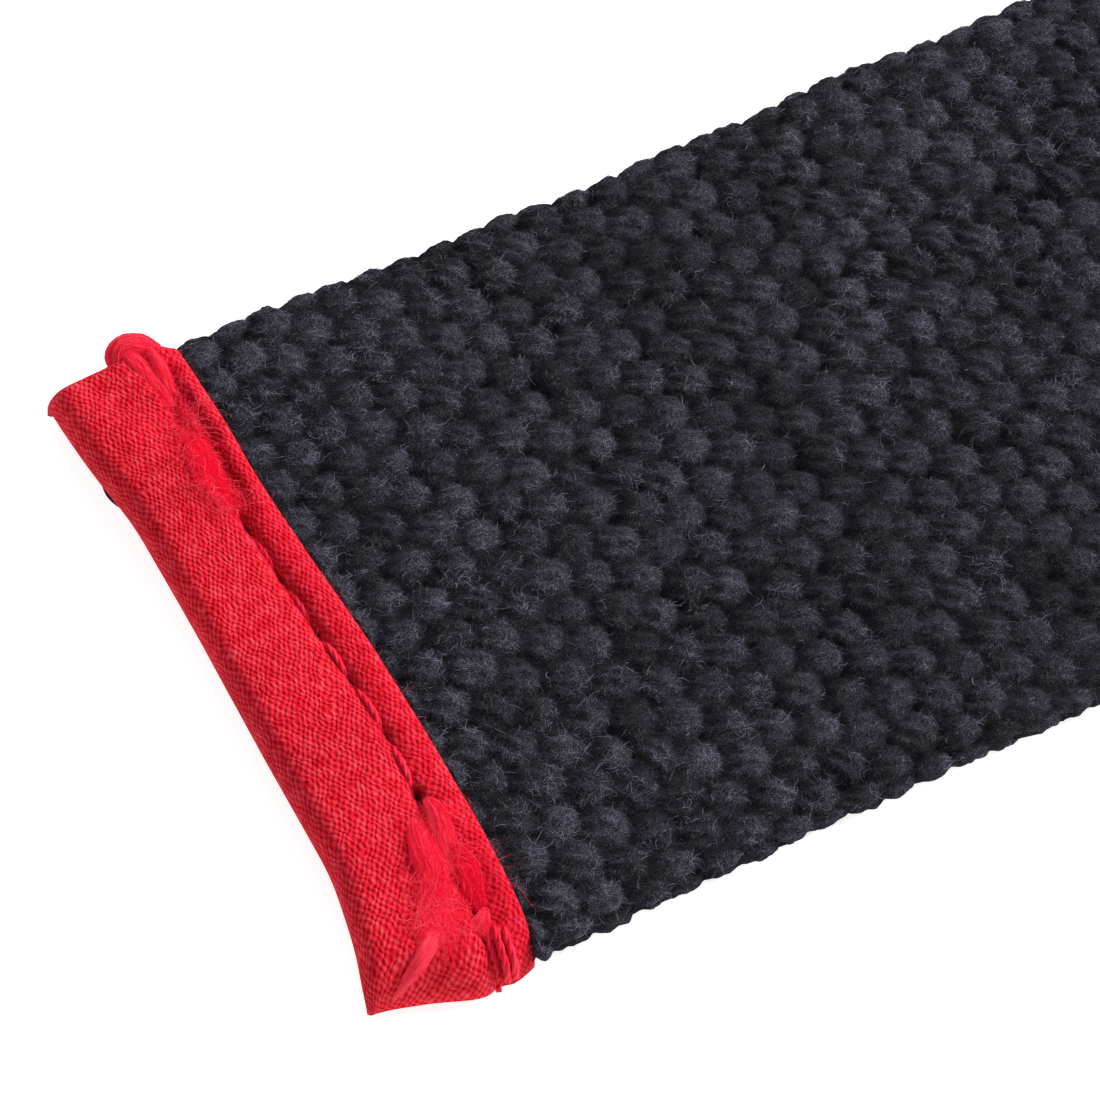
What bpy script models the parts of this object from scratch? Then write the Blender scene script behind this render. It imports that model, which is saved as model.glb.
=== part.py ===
"""Cotton hand strap with a threaded wrist loop.

One length of heavy cotton webbing: a bound free end, a tail that lies flat, an
S-bend up through a sewn eye, a wrist loop that stands up and turns a quarter
turn on its way round, and the folded and sewn eye itself.

Metres, +Z up.  The strap lies along +X, its width along Y.  Distances named
"from the end" are measured from the cut end of the webbing; the frame's origin
is the middle of the flat resting face of the tail.
"""
import math

import bmesh
import bpy
import numpy as np
from mathutils import Vector

# ---------------------------------------------------------------- dimensions
STRAP_W = 0.038            # webbing width, 1.5 inch
STRAP_T = 0.0024           # webbing thickness
CHAMFER = 0.0006           # rounding of the selvedges
GAP = 0.0003               # running gap between neighbouring pieces
ORIGIN_FROM_END = 0.118    # frame origin, from the cut end

BIND_T = 0.0004            # binding tape thickness
BIND_TOP = 0.0073          # tape on the upper face, from the cut end
BIND_BOTTOM = 0.0068       # tape on the lower face
BIND_OVER_SIDE = 0.0002    # tape past each selvedge
BIND_LIFT = 0.0005         # underside of the tape above the resting plane
SEAM_FROM_END = 0.0052     # seam row, from the cut end
STITCH = 0.00345           # stitch length
THREAD_TOP_D = 0.00045     # needle thread
THREAD_LOW_D = 0.0003      # bobbin thread

FLEX_FROM_END = 0.090      # where the free end starts to lift
FLAT_FROM = 0.098          # flat resting run of the tail
FLAT_TO = 0.138
RISE_TO = 0.163            # the tail is fully raised from here
EYE_FROM_END = 0.200       # middle of the eye
LOOP_FROM_END = 0.248      # end of the straight run, start of the wrist loop

LOOP_BEND_R = 0.022        # bends at the foot of the wrist loop
LOOP_LEG = 0.010           # short upright runs
LOOP_SIDE = 0.048          # loop feet, from the middle of the eye

EYE_MOUTH = -0.0248        # end of the ramp down to the sewn layers
EYE_RAMP = -0.0199         # start of the ramp
EYE_FOLD = 0.0196          # centre of the fold round the tail's edge
EYE_CUT = -0.0465          # cut end of the folded-back layer
EYE_LIFT = 0.00055         # underside of the sewn layers above the resting plane

HALF_T = STRAP_T / 2
Z_FLAT = HALF_T                                  # mid-plane of webbing lying flat
Z_BOUND = BIND_LIFT + BIND_T + GAP + HALF_T      # mid-plane inside the binding
Z_TAIL_UP = STRAP_T + GAP + HALF_T               # mid-plane of the tail in the eye
Z_EYE_TOP = Z_TAIL_UP + STRAP_T + GAP            # mid-plane of the eye's top layer
Z_SEWN_LOW = EYE_LIFT + HALF_T                   # mid-planes of the sewn layers
Z_SEWN_UP = Z_SEWN_LOW + STRAP_T + GAP

BLACK = (0.020, 0.021, 0.027, 1.0)
RED = (0.55, 0.010, 0.030, 1.0)


# ------------------------------------------------------------------- helpers
def at(from_end, y=0.0, z=0.0):
    """A point given by its distance from the cut end."""
    return np.array([from_end - ORIGIN_FROM_END, y, z])


def ease(t):
    t = np.clip(t, 0.0, 1.0)
    return t * t * (3.0 - 2.0 * t)


def material(name, colour, rough):
    m = bpy.data.materials.new(name)
    m.use_nodes = True
    b = m.node_tree.nodes["Principled BSDF"]
    b.inputs["Base Color"].default_value = colour
    b.inputs["Roughness"].default_value = rough
    b.inputs["Metallic"].default_value = 0.0
    m.diffuse_color = colour
    return m


def mesh_object(name, verts, faces, mat, smooth_deg=40):
    me = bpy.data.meshes.new(name)
    me.from_pydata([tuple(map(float, v)) for v in verts], [], faces)
    me.materials.append(mat)
    bm = bmesh.new()
    bm.from_mesh(me)
    bmesh.ops.recalc_face_normals(bm, faces=bm.faces)
    bm.to_mesh(me)
    bm.free()
    me.shade_smooth()
    me.set_sharp_from_angle(angle=math.radians(smooth_deg))
    ob = bpy.data.objects.new(name, me)
    bpy.context.scene.collection.objects.link(ob)
    return ob


def ribbon(name, stations, mat, half_w=STRAP_W / 2, half_t=HALF_T, c=CHAMFER):
    """Sweep the webbing's section along stations of (point, across, normal)."""
    section = [(-half_w, -half_t + c), (-half_w + c, -half_t), (half_w - c, -half_t),
               (half_w, -half_t + c), (half_w, half_t - c), (half_w - c, half_t),
               (-half_w + c, half_t), (-half_w, half_t - c)]
    k = len(section)
    verts, faces = [], []
    for p, w, n in stations:
        for a, b in section:
            verts.append(p + w * a + n * b)
    for i in range(len(stations) - 1):
        for j in range(k):
            a, b = i * k + j, i * k + (j + 1) % k
            faces.append((a, b, b + k, a + k))
    faces.append(tuple(range(k))[::-1])
    last = (len(stations) - 1) * k
    faces.append(tuple(range(last, last + k)))
    return mesh_object(name, verts, faces, mat)


def stations_in_plane(points, across, side=1.0):
    """Stations for a run that bends only about its own width."""
    pts = [np.array(p, float) for p in points]
    across = np.array(across, float)
    out = []
    for i, p in enumerate(pts):
        a = pts[max(i - 1, 0)]
        b = pts[min(i + 1, len(pts) - 1)]
        if 0 < i < len(pts) - 1:
            u = (p - a) / np.linalg.norm(p - a)
            v = (b - p) / np.linalg.norm(b - p)
            t = u + v
            t /= np.linalg.norm(t)
            stretch = 1.0 / max(0.5, float(np.dot(t, u)))
        else:
            t = (b - a) / np.linalg.norm(b - a)
            stretch = 1.0
        n = np.cross(t, across) * side * stretch
        out.append((p, across, n))
    return out


def thread(name, points, diameter, mat):
    cu = bpy.data.curves.new(name, "CURVE")
    cu.dimensions = "3D"
    cu.bevel_depth = diameter / 2
    cu.bevel_resolution = 2
    cu.use_fill_caps = True
    sp = cu.splines.new("POLY")
    sp.points.add(len(points) - 1)
    for q, p in zip(sp.points, points):
        q.co = (float(p[0]), float(p[1]), float(p[2]), 1.0)
    cu.materials.append(mat)
    ob = bpy.data.objects.new(name, cu)
    bpy.context.scene.collection.objects.link(ob)
    return ob


# --------------------------------------------------------------- wrist loop
def loop_stations(count):
    """The wrist loop: up from the tail, a quarter turn on the way round, down
    into the eye's lower layer.  The across direction stays level throughout
    and swings from +Y to -X, shared between the two upright runs."""
    start = at(LOOP_FROM_END + GAP / 2, 0.0, Z_TAIL_UP)
    stop = at(EYE_FROM_END, -LOOP_SIDE - GAP / 2, Z_SEWN_LOW)
    top_r = (LOOP_SIDE + LOOP_BEND_R) / math.sqrt(2.0)
    leg_b = LOOP_LEG + Z_TAIL_UP - Z_SEWN_LOW
    n = 1200
    for _ in range(6):
        runs = [(math.pi / 2 * LOOP_BEND_R, 1 / LOOP_BEND_R), (LOOP_LEG, 0.0),
                (math.pi * top_r, 1 / top_r), (leg_b, 0.0),
                (math.pi / 2 * LOOP_BEND_R, 1 / LOOP_BEND_R)]
        total = sum(r[0] for r in runs)
        s = np.linspace(0.0, total, n)
        bend = np.zeros(n)
        edge = 0.0
        for length, k in runs:
            bend += k * (ease((s - edge) / 0.012 + 0.5) - ease((s - edge - length) / 0.012 + 0.5))
            edge += length
        ds = s[1] - s[0]
        pitch = np.concatenate([[0.0], np.cumsum((bend[1:] + bend[:-1]) * ds / 2)])
        pitch *= 2 * math.pi / pitch[-1]
        u = s / total
        swing = 0.5 * ease((u - 0.06) / 0.30) + 0.5 * ease((u - 0.64) / 0.30)
        az = math.pi / 2 * (1.0 + swing)
        tx = np.cos(pitch) * np.sin(az)
        ty = -np.cos(pitch) * np.cos(az)
        tz = np.sin(pitch)
        t = np.stack([tx, ty, tz], 1)
        p = start + np.concatenate([[np.zeros(3)], np.cumsum((t[1:] + t[:-1]) * ds / 2, axis=0)])
        miss = p[-1] - stop
        top_r += float(miss[0] + miss[1]) / (2 * math.sqrt(2.0)) * 0.9
        leg_b += float(miss[2]) * 0.9
    p = p - np.outer(ease(u), miss)
    across = np.stack([np.cos(az), np.sin(az), np.zeros(n)], 1)
    out = []
    for i in np.linspace(0, n - 1, count).round().astype(int):
        a = p[max(i - 1, 0)]
        b = p[min(i + 1, n - 1)]
        d = (b - a) / np.linalg.norm(b - a)
        if i == 0:
            d = np.array([1.0, 0.0, 0.0])
        if i == n - 1:
            d = np.array([0.0, 1.0, 0.0])
        w = across[i] - d * float(np.dot(across[i], d))
        w /= np.linalg.norm(w)
        out.append((p[i], w, np.cross(d, w)))
    return out, total


# -------------------------------------------------------------------- model
def build():
    for ob in list(bpy.data.objects):
        bpy.data.objects.remove(ob, do_unlink=True)

    m_web = {n: material("mat_" + n, BLACK, 0.95) for n in
             ("webbing_free_end", "webbing_tail", "webbing_wrist_loop", "webbing_eye")}
    m_bind = material("mat_end_binding_tape", RED, 0.85)
    m_thread = {n: material("mat_" + n, c, 0.6) for n, c in (
        ("binding_needle_thread", RED), ("binding_bobbin_thread", RED),
        ("binding_backtack_far", RED), ("binding_backtack_near", RED),
        ("eye_box_needle_thread", RED), ("eye_box_bobbin_thread", RED),
        ("eye_bartack_thread", RED))}

    # free end: inside the binding the webbing sits a little above the resting
    # plane, then settles down onto it
    pts = [at(0.0, z=Z_BOUND)]
    for i in range(9):
        f = i / 8
        pts.append(at(0.009 + 0.013 * f, z=Z_BOUND + (Z_FLAT - Z_BOUND) * float(ease(f))))
    pts.append(at(FLEX_FROM_END - GAP / 2, z=Z_FLAT))
    ribbon("webbing_free_end", stations_in_plane(pts, (0, 1, 0)), m_web["webbing_free_end"])

    # tail: flat run, S-bend up to pass over the eye's lower layer, straight run
    pts = [at(FLEX_FROM_END + GAP / 2, z=Z_FLAT), at(FLAT_FROM, z=Z_FLAT)]
    for i in range(13):
        f = i / 12
        pts.append(at(FLAT_TO + (RISE_TO - FLAT_TO) * f,
                      z=Z_FLAT + (Z_TAIL_UP - Z_FLAT) * float(ease(f))))
    pts.append(at(LOOP_FROM_END - GAP / 2, z=Z_TAIL_UP))
    ribbon("webbing_tail", stations_in_plane(pts, (0, 1, 0)), m_web["webbing_tail"])

    # wrist loop
    st, _ = loop_stations(61)
    ribbon("webbing_wrist_loop", st, m_web["webbing_wrist_loop"])

    # eye: lower layer under the tail, fold round its edge, top layer back over
    # it and down onto the lower layer, where the two are sewn together
    def eye_pt(y, z):
        return at(EYE_FROM_END, y, z)
    pts = [eye_pt(-LOOP_SIDE + GAP / 2, Z_SEWN_LOW)]
    for i in range(5):
        f = i / 4
        pts.append(eye_pt(EYE_MOUTH + (EYE_RAMP - EYE_MOUTH) * f,
                          Z_SEWN_LOW + (Z_FLAT - Z_SEWN_LOW) * float(ease(f))))
    r = (Z_EYE_TOP - Z_FLAT) / 2
    for i in range(13):
        a = -math.pi / 2 + math.pi * i / 12
        pts.append(eye_pt(EYE_FOLD + r * math.cos(a), Z_FLAT + r + r * math.sin(a)))
    for i in range(7):
        f = i / 6
        pts.append(eye_pt(EYE_RAMP + (EYE_MOUTH - EYE_RAMP) * f,
                          Z_EYE_TOP + (Z_SEWN_UP - Z_EYE_TOP) * float(ease(f))))
    pts.append(eye_pt(EYE_CUT, Z_SEWN_UP))
    ribbon("webbing_eye", stations_in_plane(pts, (-1, 0, 0)), m_web["webbing_eye"])

    # binding: one strip of tape folded round the cut end, extruded across it
    top = Z_BOUND + HALF_T + GAP
    low = Z_BOUND - HALF_T - GAP
    outer, inner = [], []
    mid = (top + low) / 2
    r_in = (top - low) / 2
    for i in range(11):
        a = math.pi / 2 + math.pi * i / 10
        squash = 0.28
        inner.append((-GAP + squash * r_in * math.cos(a), mid + r_in * math.sin(a)))
        outer.append((-GAP + (squash * r_in + BIND_T) * math.cos(a),
                      mid + (r_in + BIND_T) * math.sin(a)))
    outline = ([(BIND_TOP, top + BIND_T)] + outer + [(BIND_BOTTOM, low - BIND_T), (BIND_BOTTOM, low)]
               + inner[::-1] + [(BIND_TOP, top)])
    half = STRAP_W / 2 + BIND_OVER_SIDE
    k = len(outline)
    verts = [at(x, s * half, z) for s in (-1, 1) for x, z in outline]
    faces = [tuple(range(k)), tuple(range(2 * k - 1, k - 1, -1))]
    faces += [(i, i + k, (i + 1) % k + k, (i + 1) % k) for i in range(k)]
    ob = mesh_object("end_binding_tape", verts, faces, m_bind)
    bm = bmesh.new()
    bm.from_mesh(ob.data)
    bmesh.ops.triangulate(bm, faces=[f for f in bm.faces if len(f.verts) > 4])
    bm.to_mesh(ob.data)
    bm.free()

    # seam of the binding: needle thread above, bobbin thread below
    face = top + BIND_T
    count = 10
    seam, low_seam = [], []
    steps = count * 4
    for i in range(steps + 1):
        y = -count * STITCH / 2 + count * STITCH * i / steps
        arch = math.sin(math.pi * ((i % 4) / 4)) if i % 4 else 0.0
        seam.append(at(SEAM_FROM_END, y, face + 0.0002 + THREAD_TOP_D / 2 + 0.00025 * arch))
    thread("binding_needle_thread", seam, THREAD_TOP_D, m_thread["binding_needle_thread"])
    for i in range(count * 2 + 1):
        y = -count * STITCH / 2 + count * STITCH * i / (count * 2)
        low_seam.append(at(SEAM_FROM_END, y, 0.00003 + THREAD_LOW_D / 2))
    thread("binding_bobbin_thread", low_seam, THREAD_LOW_D, m_thread["binding_bobbin_thread"])

    # backtacks: three short runs laid side by side over each end of the seam
    for name, sign in (("binding_backtack_far", 1), ("binding_backtack_near", -1)):
        run = []
        z = face + 0.0002 + THREAD_TOP_D / 2
        for j, off in enumerate((0.0008, 0.0015, 0.0022)):
            ends = (0.0125, 0.0185) if j % 2 == 0 else (0.0185, 0.0125)
            for i in range(4):
                y = ends[0] + (ends[1] - ends[0]) * i / 3
                run.append(at(SEAM_FROM_END - off, sign * y, z + 0.0002 * math.sin(math.pi * i / 3)))
        thread(name, run, THREAD_TOP_D, m_thread[name])

    # eye: a box seam of two turns through both layers, and a bartack at the mouth
    z_up = Z_SEWN_UP + HALF_T + 0.0002 + THREAD_TOP_D / 2
    z_low = 0.00003 + THREAD_LOW_D / 2

    def box_path(z):
        x0, x1, y0, y1 = -0.0150, 0.0150, -0.0440, -0.0312
        step = 0.0030
        corners = [(x0, y1), (x1, y1), (x1, y0), (x0, y0), (x0, y1 - step),
                   (x1 - step, y1 - step), (x1 - step, y0 + step), (x0 + step, y0 + step),
                   (x0 + step, y1 - 2 * step)]
        out = []
        for (ax, ay), (bx, by) in zip(corners[:-1], corners[1:]):
            m = max(1, round(math.hypot(bx - ax, by - ay) / 0.0030))
            for i in range(m):
                f = i / m
                out.append(at(EYE_FROM_END + ax + (bx - ax) * f, ay + (by - ay) * f, z))
        out.append(at(EYE_FROM_END + corners[-1][0], corners[-1][1], z))
        return out
    thread("eye_box_needle_thread", box_path(z_up), THREAD_TOP_D, m_thread["eye_box_needle_thread"])
    thread("eye_box_bobbin_thread", box_path(z_low), THREAD_LOW_D, m_thread["eye_box_bobbin_thread"])
    tack = []
    for i in range(31):
        tack.append(at(EYE_FROM_END - 0.0160 + 0.0320 * i / 30,
                       -0.0265 if i % 2 else -0.0292, z_up))
    thread("eye_bartack_thread", tack, THREAD_TOP_D, m_thread["eye_bartack_thread"])


build()
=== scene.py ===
"""Looks of the cotton hand strap: bumpy black webbing, red folded tape on the
cut end with its lockstitch and backtacks, sewn eye, fuzz, floor, light, camera.
All lengths in the helpers are millimetres along or across the webbing; meshes
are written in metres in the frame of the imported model."""
import math
import bpy
import numpy as np
from mathutils import Matrix, Vector
from mathutils.geometry import tessellate_polygon


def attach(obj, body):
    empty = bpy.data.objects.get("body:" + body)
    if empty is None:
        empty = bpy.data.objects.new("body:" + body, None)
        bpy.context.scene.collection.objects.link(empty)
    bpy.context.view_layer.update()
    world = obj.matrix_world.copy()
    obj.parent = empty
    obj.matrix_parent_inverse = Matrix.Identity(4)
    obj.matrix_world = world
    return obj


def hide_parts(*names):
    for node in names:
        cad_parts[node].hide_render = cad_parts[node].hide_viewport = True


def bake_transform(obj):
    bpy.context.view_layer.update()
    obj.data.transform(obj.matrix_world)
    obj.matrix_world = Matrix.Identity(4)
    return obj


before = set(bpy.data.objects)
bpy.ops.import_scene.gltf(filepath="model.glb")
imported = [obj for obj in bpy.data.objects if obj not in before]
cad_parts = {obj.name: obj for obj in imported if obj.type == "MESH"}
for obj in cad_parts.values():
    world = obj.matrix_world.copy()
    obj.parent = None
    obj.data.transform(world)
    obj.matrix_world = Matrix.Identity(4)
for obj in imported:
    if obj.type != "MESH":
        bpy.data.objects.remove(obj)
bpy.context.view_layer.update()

RNG = np.random.default_rng(20611)
MM = 0.001

# ------------------------------------------------------------ the same design
ORIGIN_FROM_END = 118.0
STRAP_W = 38.0
STRAP_T = 2.4
HALF_T = STRAP_T / 2
GAP = 0.3
FLAT_TO = 138.0
RISE_TO = 163.0
EYE = 200.0
LOOP_START = 248.0
LOOP_BEND_R = 22.0
LOOP_LEG = 10.0
LOOP_SIDE = 48.0
EYE_MOUTH = -24.8
EYE_RAMP = -19.9
EYE_FOLD = 19.6
EYE_CUT = -46.5
Z_FLAT = HALF_T
Z_BOUND = 1.50
Z_TAIL_UP = STRAP_T + GAP + HALF_T
Z_EYE_TOP = Z_TAIL_UP + STRAP_T + GAP
Z_SEWN_LOW = 0.55 + HALF_T
Z_SEWN_UP = Z_SEWN_LOW + STRAP_T + 0.05

PICK = 1.921               # weave repeat along the strap
COLUMNS = 36               # yarn bumps round the whole section


def ease(t):
    t = np.clip(t, 0.0, 1.0)
    return t * t * (3.0 - 2.0 * t)


def to_world(p):
    """Millimetres from the cut end to metres in the frame."""
    q = np.array(p, float)
    q[..., 0] -= ORIGIN_FROM_END
    return q * MM


# ------------------------------------------------------------- mesh from arrays
def make_mesh(name, verts, quads=None, tris=None, smooth=True):
    me = bpy.data.meshes.new(name)
    verts = np.asarray(verts, np.float32)
    parts, sizes = [], []
    if quads is not None and len(quads):
        parts.append(np.asarray(quads, np.int32).reshape(-1))
        sizes.append(np.full(len(quads), 4, np.int32))
    if tris is not None and len(tris):
        parts.append(np.asarray(tris, np.int32).reshape(-1))
        sizes.append(np.full(len(tris), 3, np.int32))
    idx = np.concatenate(parts)
    size = np.concatenate(sizes)
    me.vertices.add(len(verts))
    me.vertices.foreach_set("co", verts.reshape(-1))
    me.loops.add(len(idx))
    me.loops.foreach_set("vertex_index", idx)
    me.polygons.add(len(size))
    start = np.concatenate([[0], np.cumsum(size)[:-1]]).astype(np.int32)
    me.polygons.foreach_set("loop_start", start)
    me.update(calc_edges=True)
    me.validate()
    me.polygons.foreach_set("use_smooth", np.full(len(size), smooth, bool))
    ob = bpy.data.objects.new(name, me)
    bpy.context.scene.collection.objects.link(ob)
    return ob


def point_attr(ob, name, values):
    a = ob.data.attributes.new(name, "FLOAT", "POINT")
    a.data.foreach_set("value", np.asarray(values, np.float32).reshape(-1))


def vector_attr(ob, name, values):
    a = ob.data.attributes.new(name, "FLOAT_VECTOR", "POINT")
    a.data.foreach_set("vector", np.asarray(values, np.float32).reshape(-1))


def tube_grid(n, m):
    """Quads of a closed tube: n rings of m points."""
    i = np.arange(n - 1)[:, None]
    j = np.arange(m)[None, :]
    j2 = (j + 1) % m
    return np.stack([i * m + j, i * m + j2, (i + 1) * m + j2, (i + 1) * m + j], -1).reshape(-1, 4)


def tubes(name, paths, radii, sides=3, taper=0.35, tone=None):
    """Many thin closed tubes: paths (n, k, 3) in mm from the end, radii (n,) mm."""
    paths = np.asarray(paths, float)
    n, k, _ = paths.shape
    t = np.gradient(paths, axis=1)
    t /= np.maximum(np.linalg.norm(t, axis=2, keepdims=True), 1e-9)
    ref = np.where(np.abs(t[:, :1, 2:3]) < 0.8, np.array([0.0, 0.0, 1.0]), np.array([1.0, 0.0, 0.0]))
    ref = np.broadcast_to(ref, t.shape)
    u = np.cross(t, ref)
    u /= np.maximum(np.linalg.norm(u, axis=2, keepdims=True), 1e-9)
    v = np.cross(t, u)
    shape = np.ones(k)
    shape[-1] = taper
    if k > 3:
        shape[-2] = 0.5 + 0.5 * taper
    r = np.asarray(radii, float).reshape(n, 1, 1) * shape[None, :, None]
    rings = []
    for a in range(sides):
        ang = 2 * math.pi * a / sides
        rings.append(paths + (u * math.cos(ang) + v * math.sin(ang)) * r)
    verts = np.stack(rings, 2)                       # n, k, sides, 3
    one = tube_grid(k, sides)[:, ::-1]
    per = k * sides
    base = (np.arange(n) * per)[:, None, None]
    quads = (one[None] + base).reshape(-1, 4)
    fan0 = np.stack([np.zeros(sides - 2, int), np.arange(1, sides - 1), np.arange(2, sides)], 1)
    cap0 = fan0
    cap1 = fan0[:, ::-1] + (k - 1) * sides
    tris = (np.concatenate([cap0, cap1])[None] + base).reshape(-1, 3)
    ob = make_mesh(name, to_world(verts.reshape(-1, 3)), quads, tris)
    tone = RNG.random(n) if tone is None else np.clip(tone, 0, 1)
    point_attr(ob, "rnd", np.repeat(tone, per))
    return ob


# --------------------------------------------------------------- smooth noise
_GRID = np.random.default_rng(5).random((64, 64, 64)).astype(np.float32) * 2 - 1


def noise3(p, scale, shift=0.0):
    """Value noise in -1..1 of points in mm; scale is the grain size in mm."""
    q = np.asarray(p, float) / scale + 31.7 + shift
    i = np.floor(q).astype(int)
    f = q - i
    f = f * f * (3 - 2 * f)
    out = 0.0
    for dx in (0, 1):
        for dy in (0, 1):
            for dz in (0, 1):
                w = ((f[..., 0] if dx else 1 - f[..., 0]) * (f[..., 1] if dy else 1 - f[..., 1])
                     * (f[..., 2] if dz else 1 - f[..., 2]))
                out = out + w * _GRID[(i[..., 0] + dx) % 64, (i[..., 1] + dy) % 64, (i[..., 2] + dz) % 64]
    return out


# ------------------------------------------------------ mid-line of the webbing
def run_from_points(pts, across):
    pts = np.asarray(pts, float)
    d = np.gradient(pts, axis=0)
    d /= np.linalg.norm(d, axis=1, keepdims=True)
    w = np.broadcast_to(np.asarray(across, float), pts.shape).copy()
    n = np.cross(d, w)
    n /= np.linalg.norm(n, axis=1, keepdims=True)
    return pts, w, n


def loop_run(n=1500):
    start = np.array([LOOP_START, 0.0, Z_TAIL_UP])
    stop = np.array([EYE, -LOOP_SIDE, Z_SEWN_LOW])
    top_r = (LOOP_SIDE + LOOP_BEND_R) / math.sqrt(2.0)
    leg_b = LOOP_LEG + Z_TAIL_UP - Z_SEWN_LOW
    for _ in range(6):
        runs = [(math.pi / 2 * LOOP_BEND_R, 1 / LOOP_BEND_R), (LOOP_LEG, 0.0),
                (math.pi * top_r, 1 / top_r), (leg_b, 0.0),
                (math.pi / 2 * LOOP_BEND_R, 1 / LOOP_BEND_R)]
        total = sum(r[0] for r in runs)
        s = np.linspace(0.0, total, n)
        bend = np.zeros(n)
        edge = 0.0
        for length, k in runs:
            bend += k * (ease((s - edge) / 12.0 + 0.5) - ease((s - edge - length) / 12.0 + 0.5))
            edge += length
        ds = s[1] - s[0]
        pitch = np.concatenate([[0.0], np.cumsum((bend[1:] + bend[:-1]) * ds / 2)])
        pitch *= 2 * math.pi / pitch[-1]
        u = s / total
        swing = 0.5 * ease((u - 0.06) / 0.30) + 0.5 * ease((u - 0.64) / 0.30)
        az = math.pi / 2 * (1.0 + swing)
        t = np.stack([np.cos(pitch) * np.sin(az), -np.cos(pitch) * np.cos(az), np.sin(pitch)], 1)
        p = start + np.concatenate([[np.zeros(3)], np.cumsum((t[1:] + t[:-1]) * ds / 2, axis=0)])
        miss = p[-1] - stop
        top_r += float(miss[0] + miss[1]) / (2 * math.sqrt(2.0)) * 0.9
        leg_b += float(miss[2]) * 0.9
    p = p - np.outer(ease(u), miss)
    across = np.stack([np.cos(az), np.sin(az), np.zeros(n)], 1)
    d = np.gradient(p, axis=0)
    d[0] = (1, 0, 0)
    d[-1] = (0, 1, 0)
    d /= np.linalg.norm(d, axis=1, keepdims=True)
    w = across - d * np.sum(across * d, 1, keepdims=True)
    w /= np.linalg.norm(w, axis=1, keepdims=True)
    return p, w, np.cross(d, w)


def midline():
    x = np.arange(0.0, LOOP_START + 1e-6, 0.25)
    z = Z_BOUND + (Z_FLAT - Z_BOUND) * ease((x - 8.5) / 14.0)
    z = z + (Z_TAIL_UP - Z_FLAT) * ease((x - FLAT_TO) / (RISE_TO - FLAT_TO))
    tail = run_from_points(np.stack([x, np.zeros_like(x), z], 1), (0, 1, 0))
    loop = loop_run()
    y = np.arange(-LOOP_SIDE, EYE_FOLD, 0.25)
    zz = Z_SEWN_LOW + (Z_FLAT - Z_SEWN_LOW) * ease((y - EYE_MOUTH) / (EYE_RAMP - EYE_MOUTH))
    r = (Z_EYE_TOP - Z_FLAT) / 2
    a = np.linspace(-math.pi / 2, math.pi / 2, 40)
    y2 = np.arange(EYE_FOLD - 0.25, EYE_CUT, -0.25)
    z2 = Z_SEWN_UP + (Z_EYE_TOP - Z_SEWN_UP) * ease((y2 - EYE_MOUTH) / (EYE_RAMP - EYE_MOUTH))
    ys = np.concatenate([y, EYE_FOLD + r * np.cos(a), y2])
    zs = np.concatenate([zz, Z_FLAT + r + r * np.sin(a), z2])
    eye = run_from_points(np.stack([np.full_like(ys, EYE), ys, zs], 1), (-1, 0, 0))
    out = []
    for run in (tail, loop, eye):
        out.append([np.array(a) for a in run])
    P = np.concatenate([out[0][0], out[1][0][1:], out[2][0][1:]])
    W = np.concatenate([out[0][1], out[1][1][1:], out[2][1][1:]])
    N = np.concatenate([out[0][2], out[1][2][1:], out[2][2][1:]])
    S = np.concatenate([[0.0], np.cumsum(np.linalg.norm(np.diff(P, axis=0), axis=1))])
    marks = {"tail": S[len(out[0][0]) - 1], "loop": S[len(out[0][0]) + len(out[1][0]) - 2], "end": S[-1]}
    return S, P, W, N, marks


S_ALL, P_ALL, W_ALL, N_ALL, MARK = midline()


def frames_at(s):
    out = []
    for A in (P_ALL, W_ALL, N_ALL):
        out.append(np.stack([np.interp(s, S_ALL, A[:, k]) for k in range(3)], -1))
    P, W, N = out
    W /= np.linalg.norm(W, axis=-1, keepdims=True)
    N -= W * np.sum(N * W, -1, keepdims=True)
    N /= np.linalg.norm(N, axis=-1, keepdims=True)
    return P, W, N


# ------------------------------------------------- shape of the binding tape
def smooth_interp(y, ys, vs, wide=1.2):
    """Smooth curve through a few design points."""
    y = np.asarray(y, float)
    out = 0.0
    wsum = 0.0
    for d in np.linspace(-2.2, 2.2, 13) * wide / 1.2:
        g = math.exp(-(d / wide) ** 2)
        out = out + g * np.interp(y + d, ys, vs)
        wsum += g
    return out / wsum


def x_outer(y):
    return smooth_interp(y, [-20, -18, -15, -11, -4, 4, 11, 15, 18, 20],
                         [-0.75, -0.55, 0.08, 0.68, 0.58, 0.58, 0.42, -0.22, -0.5, -0.55])


def x_inner(y):
    return smooth_interp(y, [-20, -17, -13, -7, -1, 4, 9, 14, 18, 20],
                         [6.95, 7.30, 7.52, 7.45, 7.24, 6.80, 6.42, 6.38, 6.12, 6.05])


def x_seam(y):
    return smooth_interp(y, [-20, -16, -10, -5, 0, 4, 9, 14, 17, 20],
                         [5.1, 5.35, 5.68, 5.80, 5.40, 5.12, 4.70, 4.60, 4.40, 4.1])


def near_y(x):
    return smooth_interp(x, [-1, 0.3, 2.2, 3.9, 4.8, 5.2, 5.6, 6.4, 7.6, 9],
                         [-17.4, -17.65, -18.25, -18.95, -19.1, -18.6, -19.1, -18.95, -18.5, -18.4], 0.35)


def far_y(x):
    return smooth_interp(x, [-1, 1, 2.6, 3.4, 4.2, 5.0, 5.8, 6.4, 9],
                         [19.2, 19.35, 19.3, 19.55, 19.75, 19.5, 19.1, 18.9, 18.9], 0.4)


HOLES = np.array([-19.2, -16.4, -13.0, -9.6, -6.15, -2.74, 0.34, 3.94, 7.2, 10.7, 14.2, 17.4])
TAPE_TOP = 2.83
TAPE_T = 0.25
TAPE_LOW = 0.14
PINCH = 0.27


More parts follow.
